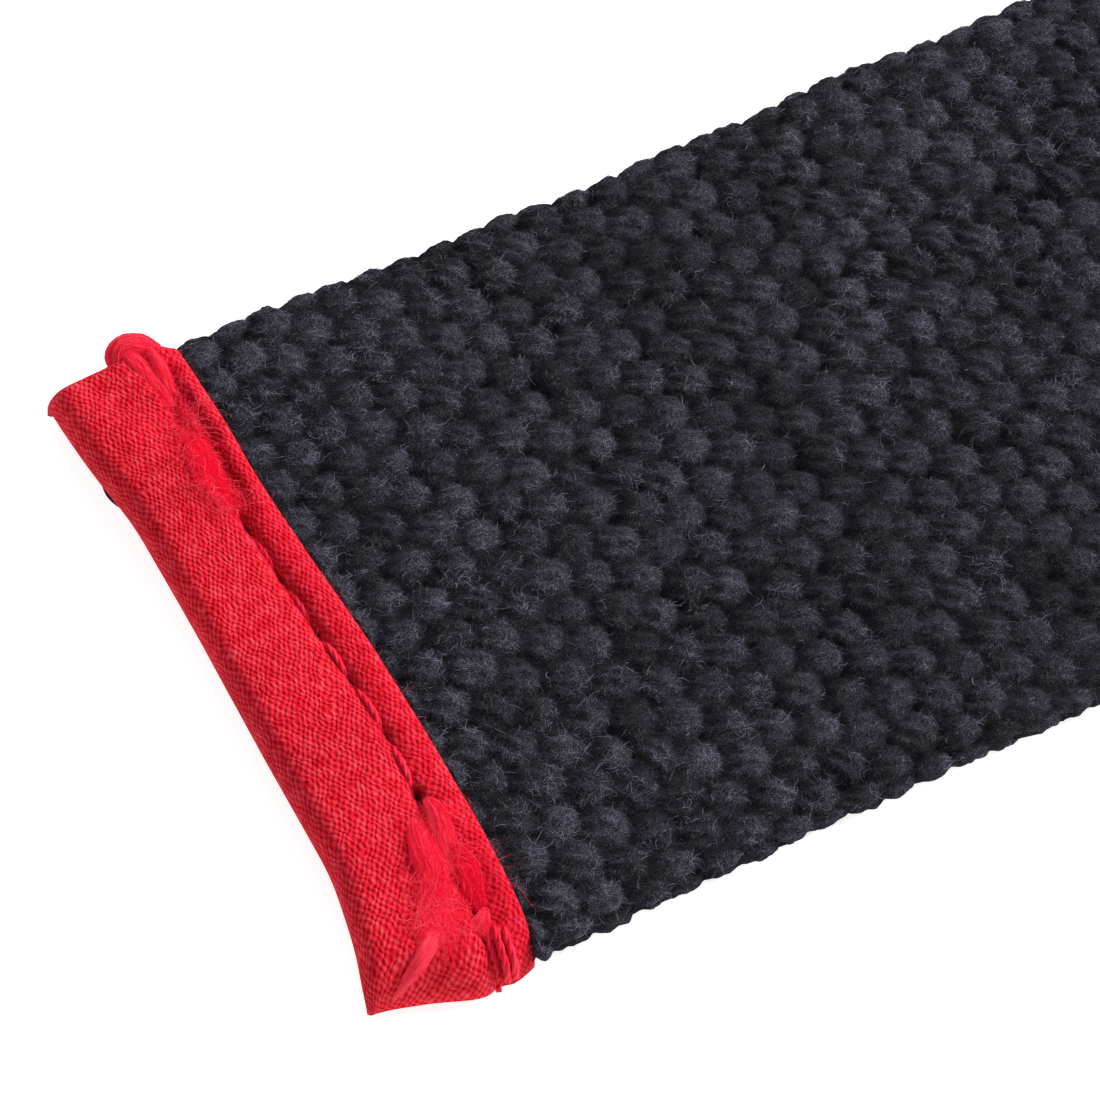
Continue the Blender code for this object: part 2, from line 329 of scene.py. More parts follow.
def tape_top(x, y, side_x=None):
    """Mid-surface of the tape's upper layer, in mm.  side_x is where the cut
    sides are looked up, if not at x itself."""
    x, y = np.broadcast_arrays(np.asarray(x, float), np.asarray(y, float))
    side_x = x if side_x is None else side_x
    xs, xi, xo = x_seam(y), x_inner(y), x_outer(y)
    d = x - xs
    near_hole = np.zeros(x.shape)
    for h in HOLES:
        near_hole = near_hole + (1.0 if abs(h + 9.6) < 0.1 else 0.48) * np.exp(-((y - h) / 0.34) ** 2)
    far_half = ease((y + 4.0) / 6.0)
    z = TAPE_TOP - np.exp(-(d / 0.30) ** 2) * (0.13 + 0.13 * far_half + (0.30 + 0.10 * far_half) * near_hole)
    # strip between seam and inner edge: a soft roll that leans on the edge
    t = np.clip(d / (xi - xs), 0, 1)
    lean = ease((y - 7.0) / 3.0) * (1 - ease((y - 17.0) / 1.5))
    z = z + (0.13 + 0.07 * far_half) * np.sin(math.pi * np.clip(t, 0, 1) ** (1 + 1.6 * lean)) * (d > 0)
    z = z - 0.17 * lean * np.exp(-((t - 0.42) / 0.2) ** 2) * (d > 0)
    z = z - 0.30 * ease((t - 0.78) / 0.22) * (d > 0)
    # wide field: slightly padded, puckered towards the stitches
    u = np.clip((x - xo) / (xs - xo), 0, 1)
    z = z + 0.16 * np.sin(math.pi * u ** (0.80 + 0.20 * far_half)) * (d <= 0)
    phase = np.interp(y, HOLES, np.arange(len(HOLES)))
    fade = np.exp(-np.abs(d) / 1.5)
    z = z - 0.045 * fade * np.cos(2 * math.pi * phase)
    q = np.stack([x * 0.55, y, 0 * x], -1)
    z = z + 0.11 * noise3(q, 4.6, 1.7) * (0.35 + 0.65 * u * (d <= 0)) + 0.035 * noise3(q, 1.5, 4.2)
    # creases that fan from the far backtack, and the hump over the far edge
    z = z + 0.07 * np.sin(2.1 * (x * 0.9 + y * 0.55)) * ease((y - 10.0) / 6.0) * (d <= 0)
    z = z + 0.34 * np.exp(-((y - 19.2) / 1.4) ** 2) * np.exp(-((x - 4.7) / 1.1) ** 2)
    # rolls down to the lower layer at both cut sides
    a = np.clip((y - near_y(side_x)) / 2.0, 0, 1)
    b = np.clip((far_y(side_x) - y) / 1.1, 0, 1)
    r = np.sqrt(1 - (1 - a) ** 2) * np.sqrt(1 - (1 - b) ** 2)
    return PINCH + (z - PINCH) * r


def tape_painted_shade(x, y):
    """Local darkening of the tape: painted shade in the seam groove, the needle holes and beside the far tuft, and a
    darker strip between seam and inner edge.
    """
    d = x - x_seam(y)
    # painted shade along the seam groove
    tone = 1 - 0.40 * np.exp(-(d / 0.24) ** 2)
    # painted shade in the needle holes, deepest in the big one at y = -9.6
    for i, h in enumerate(HOLES):
        big = 1.6 if abs(h + 9.6) < 0.1 else (0.5 if h > 8 or h < -12 else 0.75)
        rr = ((x - x_seam(y) - 0.02) / (0.21 * big)) ** 2 + ((y - h) / (0.25 * big)) ** 2
        tone = tone * (1 - (0.94 if big == 1.6 else 0.78) * np.exp(-rr ** 1.5))
    xi = x_inner(y)
    t = np.clip(d / (xi - x_seam(y)), 0, 1)
    # painted shade in the groove of the strip beside the far tuft
    lean = ease((y - 6.0) / 4.0) * (1 - ease((y - 16.5) / 2.0))
    tone = tone * (1 - 0.46 * lean * np.exp(-((t - 0.48) / 0.26) ** 2))
    # the strip a little darker across and towards its near end, and a darker patch on it near y = -14
    tone = tone * (1 - 0.16 * ease((t - 0.02) / 0.2) * (1 - ease((t - 0.80) / 0.15)))
    tone = tone * (1 - 0.12 * ease((-y - 10.5) / 3.0) * (t > 0.02))
    tone = tone * (1 - 0.48 * np.exp(-((x - 5.95) / 0.72) ** 2 - ((y + 14.2) / 1.7) ** 2))
    # darker round the two thread tufts: painted shade of the tufts, with the deeper red of the loose fibres there
    tone = tone * (1 - 0.26 * np.exp(-((x - 4.35) / 0.75) ** 2 - ((y + 12.4) / 2.1) ** 2))
    tone = tone * (1 - 0.22 * np.exp(-((x - 4.15) / 0.65) ** 2 - ((y - 12.6) / 2.6) ** 2))
    return tone


def build_tape():
    step = 0.14
    y = np.linspace(-19.25, 19.25, int(38.5 / step) + 1)
    ncol_top = int(7.6 / step)
    xs, xi, xo = x_seam(y), x_inner(y), x_outer(y)
    hem = 2.0
    nose = 1.15
    end_x = xo + nose
    cols = []
    for f in np.linspace(0, 1, 5)[:-1]:
        cols.append(("hem", xi - hem + f * (hem - 0.30), -0.34 - 0.04 * (1 - f)))
    for a in np.linspace(-math.pi / 2, math.pi / 2, 9):
        cols.append(("fold", xi - 0.30 + 0.30 * np.cos(a), -0.17 + 0.17 * np.sin(a)))
    start_x = xi - 0.30
    for f in np.linspace(0, 1, ncol_top)[1:]:
        cols.append(("top", start_x + (end_x - start_x) * f, 0.0))
    for a in np.linspace(0, math.pi, 17)[1:]:
        cols.append(("nose", end_x - nose * np.sin(a) ** 0.8, math.cos(a)))
    for f in np.linspace(0, 1, 18)[1:]:
        cols.append(("low", end_x + (6.9 - end_x) * f, 0.0))
    X = np.stack([c[1] for c in cols], 1)
    n, m = X.shape
    Y = np.repeat(y[:, None], m, 1)
    w = (np.abs(Y) / 19.25) ** 5
    Y = Y + np.where(Y < 0, (near_y(X) + 19.25) * w, (far_y(X) - 19.25) * w)
    Z = np.zeros_like(X)
    for j, (kind, x, k) in enumerate(cols):
        yj = Y[:, j]
        if kind == "top":
            Z[:, j] = tape_top(x, yj)
        elif kind in ("hem", "fold"):
            top = tape_top(np.minimum(x, start_x) if kind == "hem" else start_x, yj, x)
            Z[:, j] = top + k * np.clip((top - PINCH) / 1.2, 0.12, 1)
        elif kind == "nose":
            top = tape_top(end_x, yj, x)
            Z[:, j] = (top + TAPE_LOW) / 2 + (top - TAPE_LOW) / 2 * k
        else:
            Z[:, j] = TAPE_LOW
    mid = np.stack([X, Y, Z], -1)
    nrm = np.cross(np.gradient(mid, axis=1), np.gradient(mid, axis=0))
    nrm /= np.maximum(np.linalg.norm(nrm, axis=-1, keepdims=True), 1e-9)
    if nrm[n // 2, ncol_top // 2 + 12, 2] < 0:
        nrm = -nrm
    outer = mid + nrm * TAPE_T / 2
    inner = mid - nrm * TAPE_T / 2
    arc = np.concatenate([[0], np.cumsum(np.linalg.norm(np.diff(mid[n // 2], axis=0), axis=1))])
    over = np.concatenate([np.zeros((1, m)), np.cumsum(np.linalg.norm(np.diff(mid, axis=0), axis=-1), axis=0)])
    over = over - over[n // 2]
    for _ in range(12):
        over[:, 1:-1] = 0.25 * over[:, :-2] + 0.5 * over[:, 1:-1] + 0.25 * over[:, 2:]
    st = np.stack([np.broadcast_to(arc, (n, m)), over, 0 * X], -1) * MM
    top_mask = np.array([c[0] in ("top", "fold") for c in cols])[None, :]
    # painted shade on the upper layer only
    tone = np.where(top_mask, tape_painted_shade(X, Y), 1.0)
    verts = np.concatenate([outer.reshape(-1, 3), inner.reshape(-1, 3)])
    i = np.arange(n - 1)[:, None]
    j = np.arange(m - 1)[None, :]
    q = np.stack([i * m + j, i * m + j + 1, (i + 1) * m + j + 1, (i + 1) * m + j], -1).reshape(-1, 4)
    o = n * m
    quads = [q, q[:, ::-1] + o]
    a = np.arange(m - 1)
    quads.append(np.stack([a + 1, a, a + o, a + 1 + o], -1))
    b = (n - 1) * m + a
    quads.append(np.stack([b, b + 1, b + 1 + o, b + o], -1))
    c = np.arange(n - 1) * m
    quads.append(np.stack([c, c + m, c + m + o, c + o], -1))
    d = c + m - 1
    quads.append(np.stack([d + m, d, d + o, d + m + o], -1))
    ob = make_mesh("binding_tape_folded", to_world(verts), np.concatenate(quads))
    import bmesh
    bm = bmesh.new()
    bm.from_mesh(ob.data)
    bmesh.ops.recalc_face_normals(bm, faces=bm.faces)
    bm.to_mesh(ob.data)
    bm.free()
    vector_attr(ob, "st", np.concatenate([st.reshape(-1, 3)] * 2))
    point_attr(ob, "tone", np.concatenate([tone.reshape(-1)] * 2))
    return ob, arc[-1]


# ------------------------------------------------------------ webbing surface
R_EDGE = 1.12
FLATHALF = STRAP_W / 2 - R_EDGE
SIDE_H = STRAP_T - 2 * R_EDGE
PERIM = 4 * FLATHALF + 2 * math.pi * R_EDGE + 2 * SIDE_H
PC = PERIM / COLUMNS
_tab = np.random.default_rng(77)
JX = _tab.normal(0, 0.095, (512, COLUMNS))
JC = _tab.normal(0, 0.085, (512, COLUMNS))
JH = 1.0 - np.abs(_tab.normal(0, 0.12, (512, COLUMNS))).clip(0, 0.4)
JS = 1.0 + _tab.normal(0, 0.04, (512, COLUMNS))
JR = _tab.normal(0.12, 0.24, (512, COLUMNS))
JT = _tab.random((512, COLUMNS))


def section(c):
    """Outline of the webbing: c runs round from the middle of the top face
    towards +Y.  Returns y, z and the outward normal."""
    c = np.mod(c, PERIM)
    y = np.zeros_like(c); z = np.zeros_like(c); ny = np.zeros_like(c); nz = np.zeros_like(c)
    q = math.pi / 2 * R_EDGE
    lims = np.cumsum([0, FLATHALF, q, SIDE_H, q, 2 * FLATHALF, q, SIDE_H, q, FLATHALF])
    zc = SIDE_H / 2
    for k in range(9):
        m = (c >= lims[k]) & (c <= lims[k + 1] + 1e-9)
        t = c[m] - lims[k]
        if k == 0:
            y[m], z[m], ny[m], nz[m] = t, HALF_T, 0, 1
        elif k == 1:
            a = t / R_EDGE
            y[m], z[m] = FLATHALF + R_EDGE * np.sin(a), zc + R_EDGE * np.cos(a)
            ny[m], nz[m] = np.sin(a), np.cos(a)
        elif k == 2:
            y[m], z[m], ny[m], nz[m] = STRAP_W / 2, zc - t, 1, 0
        elif k == 3:
            a = math.pi / 2 + t / R_EDGE
            y[m], z[m] = FLATHALF + R_EDGE * np.sin(a), -zc + R_EDGE * np.cos(a)
            ny[m], nz[m] = np.sin(a), np.cos(a)
        elif k == 4:
            y[m], z[m], ny[m], nz[m] = FLATHALF - t, -HALF_T, 0, -1
        elif k == 5:
            a = math.pi + t / R_EDGE
            y[m], z[m] = -FLATHALF + R_EDGE * np.sin(a), -zc + R_EDGE * np.cos(a)
            ny[m], nz[m] = np.sin(a), np.cos(a)
        elif k == 6:
            y[m], z[m], ny[m], nz[m] = -STRAP_W / 2, -zc + t, -1, 0
        elif k == 7:
            a = 1.5 * math.pi + t / R_EDGE
            y[m], z[m] = -FLATHALF + R_EDGE * np.sin(a), zc + R_EDGE * np.cos(a)
            ny[m], nz[m] = np.sin(a), np.cos(a)
        else:
            y[m], z[m], ny[m], nz[m] = -FLATHALF + t, HALF_T, 0, 1
    return y, z, ny, nz


def weave(s, c):
    """Height 0..1 of the warp floats at (s along, c round), and a per-float random."""
    lat = np.stack([s, c, 0 * s], -1)
    s = s + 0.14 * noise3(lat, 1.15, 20.0) + 0.07 * noise3(lat, 0.48, 61.0)
    c = c + 0.14 * noise3(lat, 1.15, 40.0) + 0.07 * noise3(lat, 0.48, 83.0)
    r = s / PICK + 0.35
    i0 = np.floor(r).astype(int)
    total = np.zeros_like(s)
    best = np.full_like(s, -1.0)
    rnd = np.zeros_like(s)
    ply = np.zeros_like(s)
    for di in (-1, 0, 1, 2):
        i = i0 + di
        off = 0.5 * (i & 1)
        x = c / PC - off
        k0 = np.floor(x).astype(int)
        for dk in (0, 1):
            k = k0 + dk
            a_, b_ = np.mod(i, 512), np.mod(k, COLUMNS)
            ds = s - ((i - 0.35) * PICK + JX[a_, b_])
            dc = c - ((k + off) * PC + JC[a_, b_])
            rot = JR[a_, b_]
            u = ds * np.cos(rot) + dc * np.sin(rot)
            v = -ds * np.sin(rot) + dc * np.cos(rot)
            sz = JS[a_, b_]
            q = (np.abs(u) / (1.33 * sz)) ** 2.2 + (np.abs(v) / (1.22 * sz)) ** 2.2
            lean = np.clip(0.88 * ds - 0.48 * dc, -1.3, 1.3)
            f = JH[a_, b_] * np.clip(1 - q, 0, 1) ** 0.54 * (0.90 + 0.32 * lean)
            total += f ** 6
            m = f > best
            best = np.where(m, f, best)
            rnd = np.where(m, JT[a_, b_], rnd)
            ply = np.where(m, 0.5 - 0.5 * np.cos(2 * math.pi * (v * 0.80 + u * 0.60) / 0.74 + 6.28 * JT[a_, b_]), ply)
    F = total ** (1 / 6)
    return F - 0.19 * ply * np.clip(F * 1.6, 0, 1), rnd


AMP = 0.86


def relief(s, c, edge):
    """How far the surface lies inside the section outline, in mm."""
    F, rnd = weave(s, c)
    lat = np.stack([s, c, 0 * s], -1)
    fib = noise3(lat, 0.46) * 0.6 + noise3(lat, 0.25, 9.1) * 0.4
    d = AMP * (1 - 0.26 * edge) * (1 - F) + 0.13 * (1 - fib) * (0.55 + 0.45 * F)
    d = d + 0.05 * (1 + noise3(lat, 6.0, 3.3))
    return d, F, rnd


def surface(P, W, N, s, c, y, z, ny, nz, sink=0.0):
    """Points of the knobbly surface, with the float height and its random."""
    inward, F, rnd = relief(s, c, np.abs(ny))
    inward = inward + sink
    yy = y - ny * inward
    zz = z - nz * inward
    # slow waviness of the selvedges; the open cloth is a little wider than the
    # part that the tape holds in
    wav = 0.16 * noise3(np.stack([s, 0 * s, 0 * s + np.sign(y) * 7], -1), 9.0, 2.0)
    pull = -0.32 * np.exp(-((s - 29.0) / 2.6) ** 2) + 0.36 * np.exp(-((s - 44.3) / 3.0) ** 2) + 0.20 * np.exp(-((s - 54.8) / 2.6) ** 2)
    wav = wav + np.where(y > 0, pull, 0.0)
    yy = yy + np.sign(yy) * wav * (np.abs(yy) / (STRAP_W / 2)) ** 4
    yy = yy * (1 + 0.45 / (STRAP_W / 2) * (1 - ease((s - 75.0) / 35.0)))
    pts = P + W * yy[..., None] + N * zz[..., None]
    if s.min() < 12:
        # squeezed flat under the folded tape
        X, Y, Z = pts[..., 0], pts[..., 1], pts[..., 2]
        xi = x_inner(Y)
        room = tape_top(X, Y) - TAPE_T / 2 - 0.06 - 0.30 * ease((X - xi + 3.0) / 1.2)
        room = np.where(X < xi, room, 1.95 + 0.75 * ease((X - xi) / 0.6))
        pts[..., 2] = np.where(X < xi + 0.6, np.minimum(Z, room), Z)
        g = ease((xi + 0.4 - X) / 0.8)
        lo, hi = near_y(X) + 0.35, far_y(X) - 0.35
        pts[..., 1] = Y + (np.clip(Y, lo, hi) - Y) * g
    return pts, yy, zz, F, rnd


def web_piece(name, s, c):
    """A closed length of webbing over stations s with section samples c."""
    P, W, N = frames_at(s)
    y, z, ny, nz = section(c)
    Sg, Cg = np.meshgrid(s, c, indexing="ij")
    pts, yy, zz, F, rnd = surface(P[:, None, :], W[:, None, :], N[:, None, :], Sg, Cg,
                                  y[None, :], z[None, :], ny[None, :], nz[None, :])
    n, m = Sg.shape
    verts = pts.reshape(-1, 3)
    quads = tube_grid(n, m)
    st = np.stack([Sg, Cg, 0 * Sg], -1).reshape(-1, 3) * MM
    Ff, rr = F.reshape(-1), rnd.reshape(-1)
    tris = []
    for ring, want in ((0, 1.0), (n - 1, -1.0)):
        # the end face is the true outline of the section, filled flat
        outline = np.column_stack([yy[ring], zz[ring]])
        fill = tessellate_polygon([[Vector((float(a), float(b), 0.0)) for a, b in outline]])
        t = np.array([tuple(f) for f in fill], int)
        q = outline[t]
        area = ((q[:, 1, 0] - q[:, 0, 0]) * (q[:, 2, 1] - q[:, 0, 1])
                - (q[:, 1, 1] - q[:, 0, 1]) * (q[:, 2, 0] - q[:, 0, 0]))
        t = t[np.abs(area) > 1e-12]
        area = area[np.abs(area) > 1e-12]
        t[area * want * CAP_SIGN < 0] = t[area * want * CAP_SIGN < 0][:, ::-1]
        tris.append(t + ring * m)
    ob = make_mesh(name, to_world(verts), quads, np.concatenate(tris))
    # crisp edge round each end, so the shading runs straight on to the next length
    me = ob.data
    ev = np.zeros(len(me.edges) * 2, np.int32)
    me.edges.foreach_get("vertices", ev)
    ev = ev.reshape(-1, 2)
    first = (ev < m).all(1)
    last = ((ev >= (n - 1) * m) & (ev < n * m)).all(1)
    sharp = me.attributes.new("sharp_edge", "BOOLEAN", "EDGE")
    sharp.data.foreach_set("value", (first | last))
    # float height, which the webbing material turns into painted shade in the gaps and a painted highlight on the
    # float tops
    point_attr(ob, "wv", Ff)
    point_attr(ob, "rnd", rr)
    vector_attr(ob, "st", st)
    return ob


CAP_SIGN = 1.0


def samples(top, side, bottom):
    q = math.pi * R_EDGE + SIDE_H
    a = np.linspace(0, FLATHALF, max(2, int(FLATHALF / top) + 1))[:-1]
    b = FLATHALF + np.linspace(0, q, max(3, int(q / side) + 1))[:-1]
    d = FLATHALF + q + np.linspace(0, 2 * FLATHALF, max(3, int(2 * FLATHALF / bottom) + 1))[:-1]
    e = 3 * FLATHALF + q + np.linspace(0, q, max(3, int(q / side) + 1))[:-1]
    f = 3 * FLATHALF + 2 * q + np.linspace(0, FLATHALF, max(2, int(FLATHALF / top) + 1))[:-1]
    return np.concatenate([a, b, d, e, f])


# ------------------------------------------------------------------- materials
def new_mat(name):
    m = bpy.data.materials.new(name)
    m.use_nodes = True
    nt = m.node_tree
    for n in list(nt.nodes):
        nt.nodes.remove(n)
    out = nt.nodes.new("ShaderNodeOutputMaterial")
    b = nt.nodes.new("ShaderNodeBsdfPrincipled")
    nt.links.new(b.outputs[0], out.inputs[0])
    return m, nt, b


def node(nt, kind, **kw):
    n = nt.nodes.new(kind)
    for k, v in kw.items():
        if k.startswith("in_"):
            n.inputs[k[3:]].default_value = v
        elif k.startswith("i") and k[1:].isdigit():
            n.inputs[int(k[1:])].default_value = v
        else:
            setattr(n, k, v)
    return n


def math_n(nt, op, a, b=None, clamp=False):
    n = nt.nodes.new("ShaderNodeMath")
    n.operation = op
    n.use_clamp = clamp
    for i, v in enumerate((a, b)):
        if v is None:
            continue
        if isinstance(v, (int, float)):
            n.inputs[i].default_value = v
        else:
            nt.links.new(v, n.inputs[i])
    return n.outputs[0]


def ramp(nt, fac, stops, interp="LINEAR"):
    r = nt.nodes.new("ShaderNodeValToRGB")
    r.color_ramp.interpolation = interp
    els = r.color_ramp.elements
    while len(els) < len(stops):
        els.new(0.5)
    for e, (pos, col) in zip(els, stops):
        e.position = pos
        e.color = (*col, 1.0)
    nt.links.new(fac, r.inputs[0])
    return r.outputs[0]


def mix_col(nt, fac, a, b, mode="MIX"):
    n = nt.nodes.new("ShaderNodeMix")
    n.data_type = "RGBA"
    n.blend_type = mode
    for sock, v in ((n.inputs[0], fac), (n.inputs[6], a), (n.inputs[7], b)):
        if isinstance(v, (int, float)):
            sock.default_value = v
        elif isinstance(v, tuple):
            sock.default_value = (*v, 1.0)
        else:
            nt.links.new(v, sock)
    return n.outputs[2]


def webbing_material():
    m, nt, b = new_mat("webbing_cotton")
    wv = node(nt, "ShaderNodeAttribute", attribute_name="wv").outputs["Fac"]
    rnd = node(nt, "ShaderNodeAttribute", attribute_name="rnd").outputs["Fac"]
    co = node(nt, "ShaderNodeTexCoord").outputs["Object"]
    fib = node(nt, "ShaderNodeTexNoise", in_Scale=4200.0, in_Detail=5.0, in_Roughness=0.78, in_Distortion=2.6)
    nt.links.new(co, fib.inputs["Vector"])
    fine = node(nt, "ShaderNodeTexNoise", in_Scale=9500.0, in_Detail=3.0, in_Roughness=0.75, in_Distortion=3.0)
    nt.links.new(co, fine.inputs["Vector"])
    hair = node(nt, "ShaderNodeTexNoise", noise_type="RIDGED_MULTIFRACTAL", in_Scale=2300.0, in_Detail=3.0,
                in_Roughness=0.6, in_Distortion=2.2)
    nt.links.new(co, hair.inputs["Vector"])
    hair2 = node(nt, "ShaderNodeTexNoise", noise_type="RIDGED_MULTIFRACTAL", in_Scale=4600.0, in_Detail=2.0,
                 in_Roughness=0.6, in_Distortion=3.0)
    nt.links.new(co, hair2.inputs["Vector"])
    slow = node(nt, "ShaderNodeTexNoise", in_Scale=180.0, in_Detail=2.0)
    nt.links.new(co, slow.inputs["Vector"])
    t = math_n(nt, "MULTIPLY", math_n(nt, "SUBTRACT", fib.outputs[0], 0.5), 1.6)
    t = math_n(nt, "ADD", t, math_n(nt, "MULTIPLY", math_n(nt, "SUBTRACT", fine.outputs[0], 0.5), 2.3))
    t = math_n(nt, "ADD", t, math_n(nt, "MULTIPLY", math_n(nt, "SUBTRACT", hair.outputs[0], 0.6), 0.22))
    t = math_n(nt, "ADD", t, math_n(nt, "MULTIPLY", math_n(nt, "SUBTRACT", hair2.outputs[0], 0.6), 0.16))
    t = math_n(nt, "ADD", t, math_n(nt, "MULTIPLY", math_n(nt, "SUBTRACT", rnd, 0.5), 0.16))
    t = math_n(nt, "ADD", t, 0.5, clamp=True)
    col = ramp(nt, t, [(0.08, (0.0070, 0.0066, 0.0084)), (0.38, (0.036, 0.0335, 0.0418)),
                       (0.58, (0.135, 0.127, 0.159)), (0.90, (0.45, 0.44, 0.56))])
    # the float height wv scales the colour: painted shade in the gaps between the floats and a painted highlight on
    # their tops
    shade = ramp(nt, wv, [(0.0, (0.12, 0.11, 0.11)), (0.38, (0.36, 0.34, 0.34)), (0.72, (0.92, 0.92, 0.92)), (0.95, (1.2, 1.2, 1.24))])
    col = mix_col(nt, 1.0, col, shade, "MULTIPLY")
    wear = ramp(nt, slow.outputs[0], [(0.35, (0.88, 0.88, 0.90)), (0.65, (1.12, 1.12, 1.14))])
    col = mix_col(nt, 1.0, col, wear, "MULTIPLY")
    nt.links.new(col, b.inputs["Base Color"])
    b.inputs["Roughness"].default_value = 0.95
    b.inputs["Specular IOR Level"].default_value = 0.06
    b.inputs["Sheen Weight"].default_value = 0.05
    b.inputs["Sheen Roughness"].default_value = 0.5
    b.inputs["Sheen Tint"].default_value = (0.6, 0.65, 0.85, 1.0)
    h = math_n(nt, "ADD", math_n(nt, "MULTIPLY", fib.outputs[0], 0.7), math_n(nt, "MULTIPLY", fine.outputs[0], 0.4))
    bump = node(nt, "ShaderNodeBump", in_Strength=1.0, in_Distance=0.00034)
    nt.links.new(h, bump.inputs["Height"])
    nt.links.new(bump.outputs[0], b.inputs["Normal"])
    return m


def fuzz_material(name, stops, sheen=(0.7, 0.75, 0.9), weight=0.08, spec=0.12, glow=0.0):
    m, nt, b = new_mat(name)
    rnd = node(nt, "ShaderNodeAttribute", attribute_name="rnd").outputs["Fac"]
    col = ramp(nt, rnd, stops)
    nt.links.new(col, b.inputs["Base Color"])
    b.inputs["Roughness"].default_value = 0.7
    b.inputs["Specular IOR Level"].default_value = spec
    b.inputs["Sheen Weight"].default_value = weight
    b.inputs["Sheen Tint"].default_value = (*sheen, 1.0)
    if glow:
        # painted glow: emission standing in for the light that loose fibres pass on to each other
        nt.links.new(col, b.inputs["Emission Color"])
        b.inputs["Emission Strength"].default_value = glow
    return m


def tape_material():
    m, nt, b = new_mat("tape_cotton")
    st = node(nt, "ShaderNodeAttribute", attribute_name="st").outputs["Vector"]
    tone = node(nt, "ShaderNodeAttribute", attribute_name="tone").outputs["Fac"]
    co = node(nt, "ShaderNodeTexCoord").outputs["Object"]
    wob = node(nt, "ShaderNodeTexNoise", in_Scale=900.0, in_Detail=3.0, in_Roughness=0.6)
    nt.links.new(st, wob.inputs["Vector"])
    sepw = node(nt, "ShaderNodeSeparateColor")
    nt.links.new(wob.outputs["Color"], sepw.inputs[0])
    sep = node(nt, "ShaderNodeSeparateXYZ")
    nt.links.new(st, sep.inputs[0])
    X_, Y_ = sep.outputs[0], sep.outputs[1]
    u = math_n(nt, "ADD", math_n(nt, "MULTIPLY", X_, -3450.0), math_n(nt, "MULTIPLY", Y_, 2050.0))
    v = math_n(nt, "ADD", math_n(nt, "MULTIPLY", X_, 3650.0), math_n(nt, "MULTIPLY", Y_, 1850.0))
    u = math_n(nt, "ADD", u, math_n(nt, "MULTIPLY", sepw.outputs[0], 2.5))
    v = math_n(nt, "ADD", v, math_n(nt, "MULTIPLY", sepw.outputs[1], 2.5))
    cu_ = math_n(nt, "COSINE", math_n(nt, "MULTIPLY", u, 2 * math.pi))
    cv_ = math_n(nt, "COSINE", math_n(nt, "MULTIPLY", v, 2 * math.pi))
    h = math_n(nt, "ADD", 0.5, math_n(nt, "MULTIPLY", math_n(nt, "ADD", cu_, cv_), 0.25))
    h = math_n(nt, "POWER", math_n(nt, "MAXIMUM", h, 0.0), 0.75)
    comb = node(nt, "ShaderNodeCombineXYZ")
    nt.links.new(math_n(nt, "ROUND", u), comb.inputs[0])
    nt.links.new(math_n(nt, "ROUND", v), comb.inputs[1])
    cell = node(nt, "ShaderNodeTexWhiteNoise", noise_dimensions="2D")
    nt.links.new(comb.outputs[0], cell.inputs[0])
    fine = node(nt, "ShaderNodeTexNoise", in_Scale=8000.0, in_Detail=4.0, in_Roughness=0.75, in_Distortion=1.5)
    nt.links.new(co, fine.inputs["Vector"])
    slub = node(nt, "ShaderNodeTexNoise", in_Scale=1500.0, in_Detail=3.0)
    nt.links.new(st, slub.inputs["Vector"])
    t = math_n(nt, "ADD", math_n(nt, "MULTIPLY", h, 0.68), math_n(nt, "MULTIPLY", math_n(nt, "SUBTRACT", fine.outputs[0], 0.5), 0.75))
    t = math_n(nt, "ADD", t, math_n(nt, "MULTIPLY", math_n(nt, "SUBTRACT", slub.outputs[0], 0.5), 0.75))
    t = math_n(nt, "ADD", t, math_n(nt, "MULTIPLY", math_n(nt, "SUBTRACT", cell.outputs["Value"], 0.5), 0.22))
    t = math_n(nt, "ADD", t, 0.05)
    col = ramp(nt, t, [(0.05, (0.46, 0.0006, 0.007)), (0.30, (0.76, 0.0045, 0.020)),
                       (0.56, (0.93, 0.026, 0.050)), (0.90, (0.97, 0.100, 0.125))])
    cool = node(nt, "ShaderNodeTexNoise", in_Scale=260.0, in_Detail=3.0)
    nt.links.new(co, cool.inputs["Vector"])
    shade = ramp(nt, cool.outputs[0], [(0.35, (0.90, 0.84, 0.90)), (0.62, (1.04, 1.0, 1.0))])
    col = mix_col(nt, 1.0, col, shade, "MULTIPLY")
    # the tone attribute darkens the colour: painted shade in the seam groove, the needle holes, beside the far tuft
    # and round the tufts, and a darker strip
    dark = ramp(nt, tone, [(0.0, (0.03, 0.008, 0.03)), (0.5, (0.48, 0.18, 0.32)), (0.8, (0.88, 0.50, 0.72)), (1.0, (1.0, 1.0, 1.0))])
    col = mix_col(nt, 1.0, col, dark, "MULTIPLY")
    nt.links.new(col, b.inputs["Base Color"])
    b.inputs["Roughness"].default_value = 0.9
    b.inputs["Specular IOR Level"].default_value = 0.08
    b.inputs["Sheen Weight"].default_value = 0.04
    b.inputs["Sheen Roughness"].default_value = 0.5
    b.inputs["Sheen Tint"].default_value = (1.0, 0.4, 0.45, 1.0)
    bump = node(nt, "ShaderNodeBump", in_Strength=0.8, in_Distance=0.00011)
    nt.links.new(math_n(nt, "ADD", h, math_n(nt, "MULTIPLY", fine.outputs[0], 0.5)), bump.inputs["Height"])
    nt.links.new(bump.outputs[0], b.inputs["Normal"])
    return m


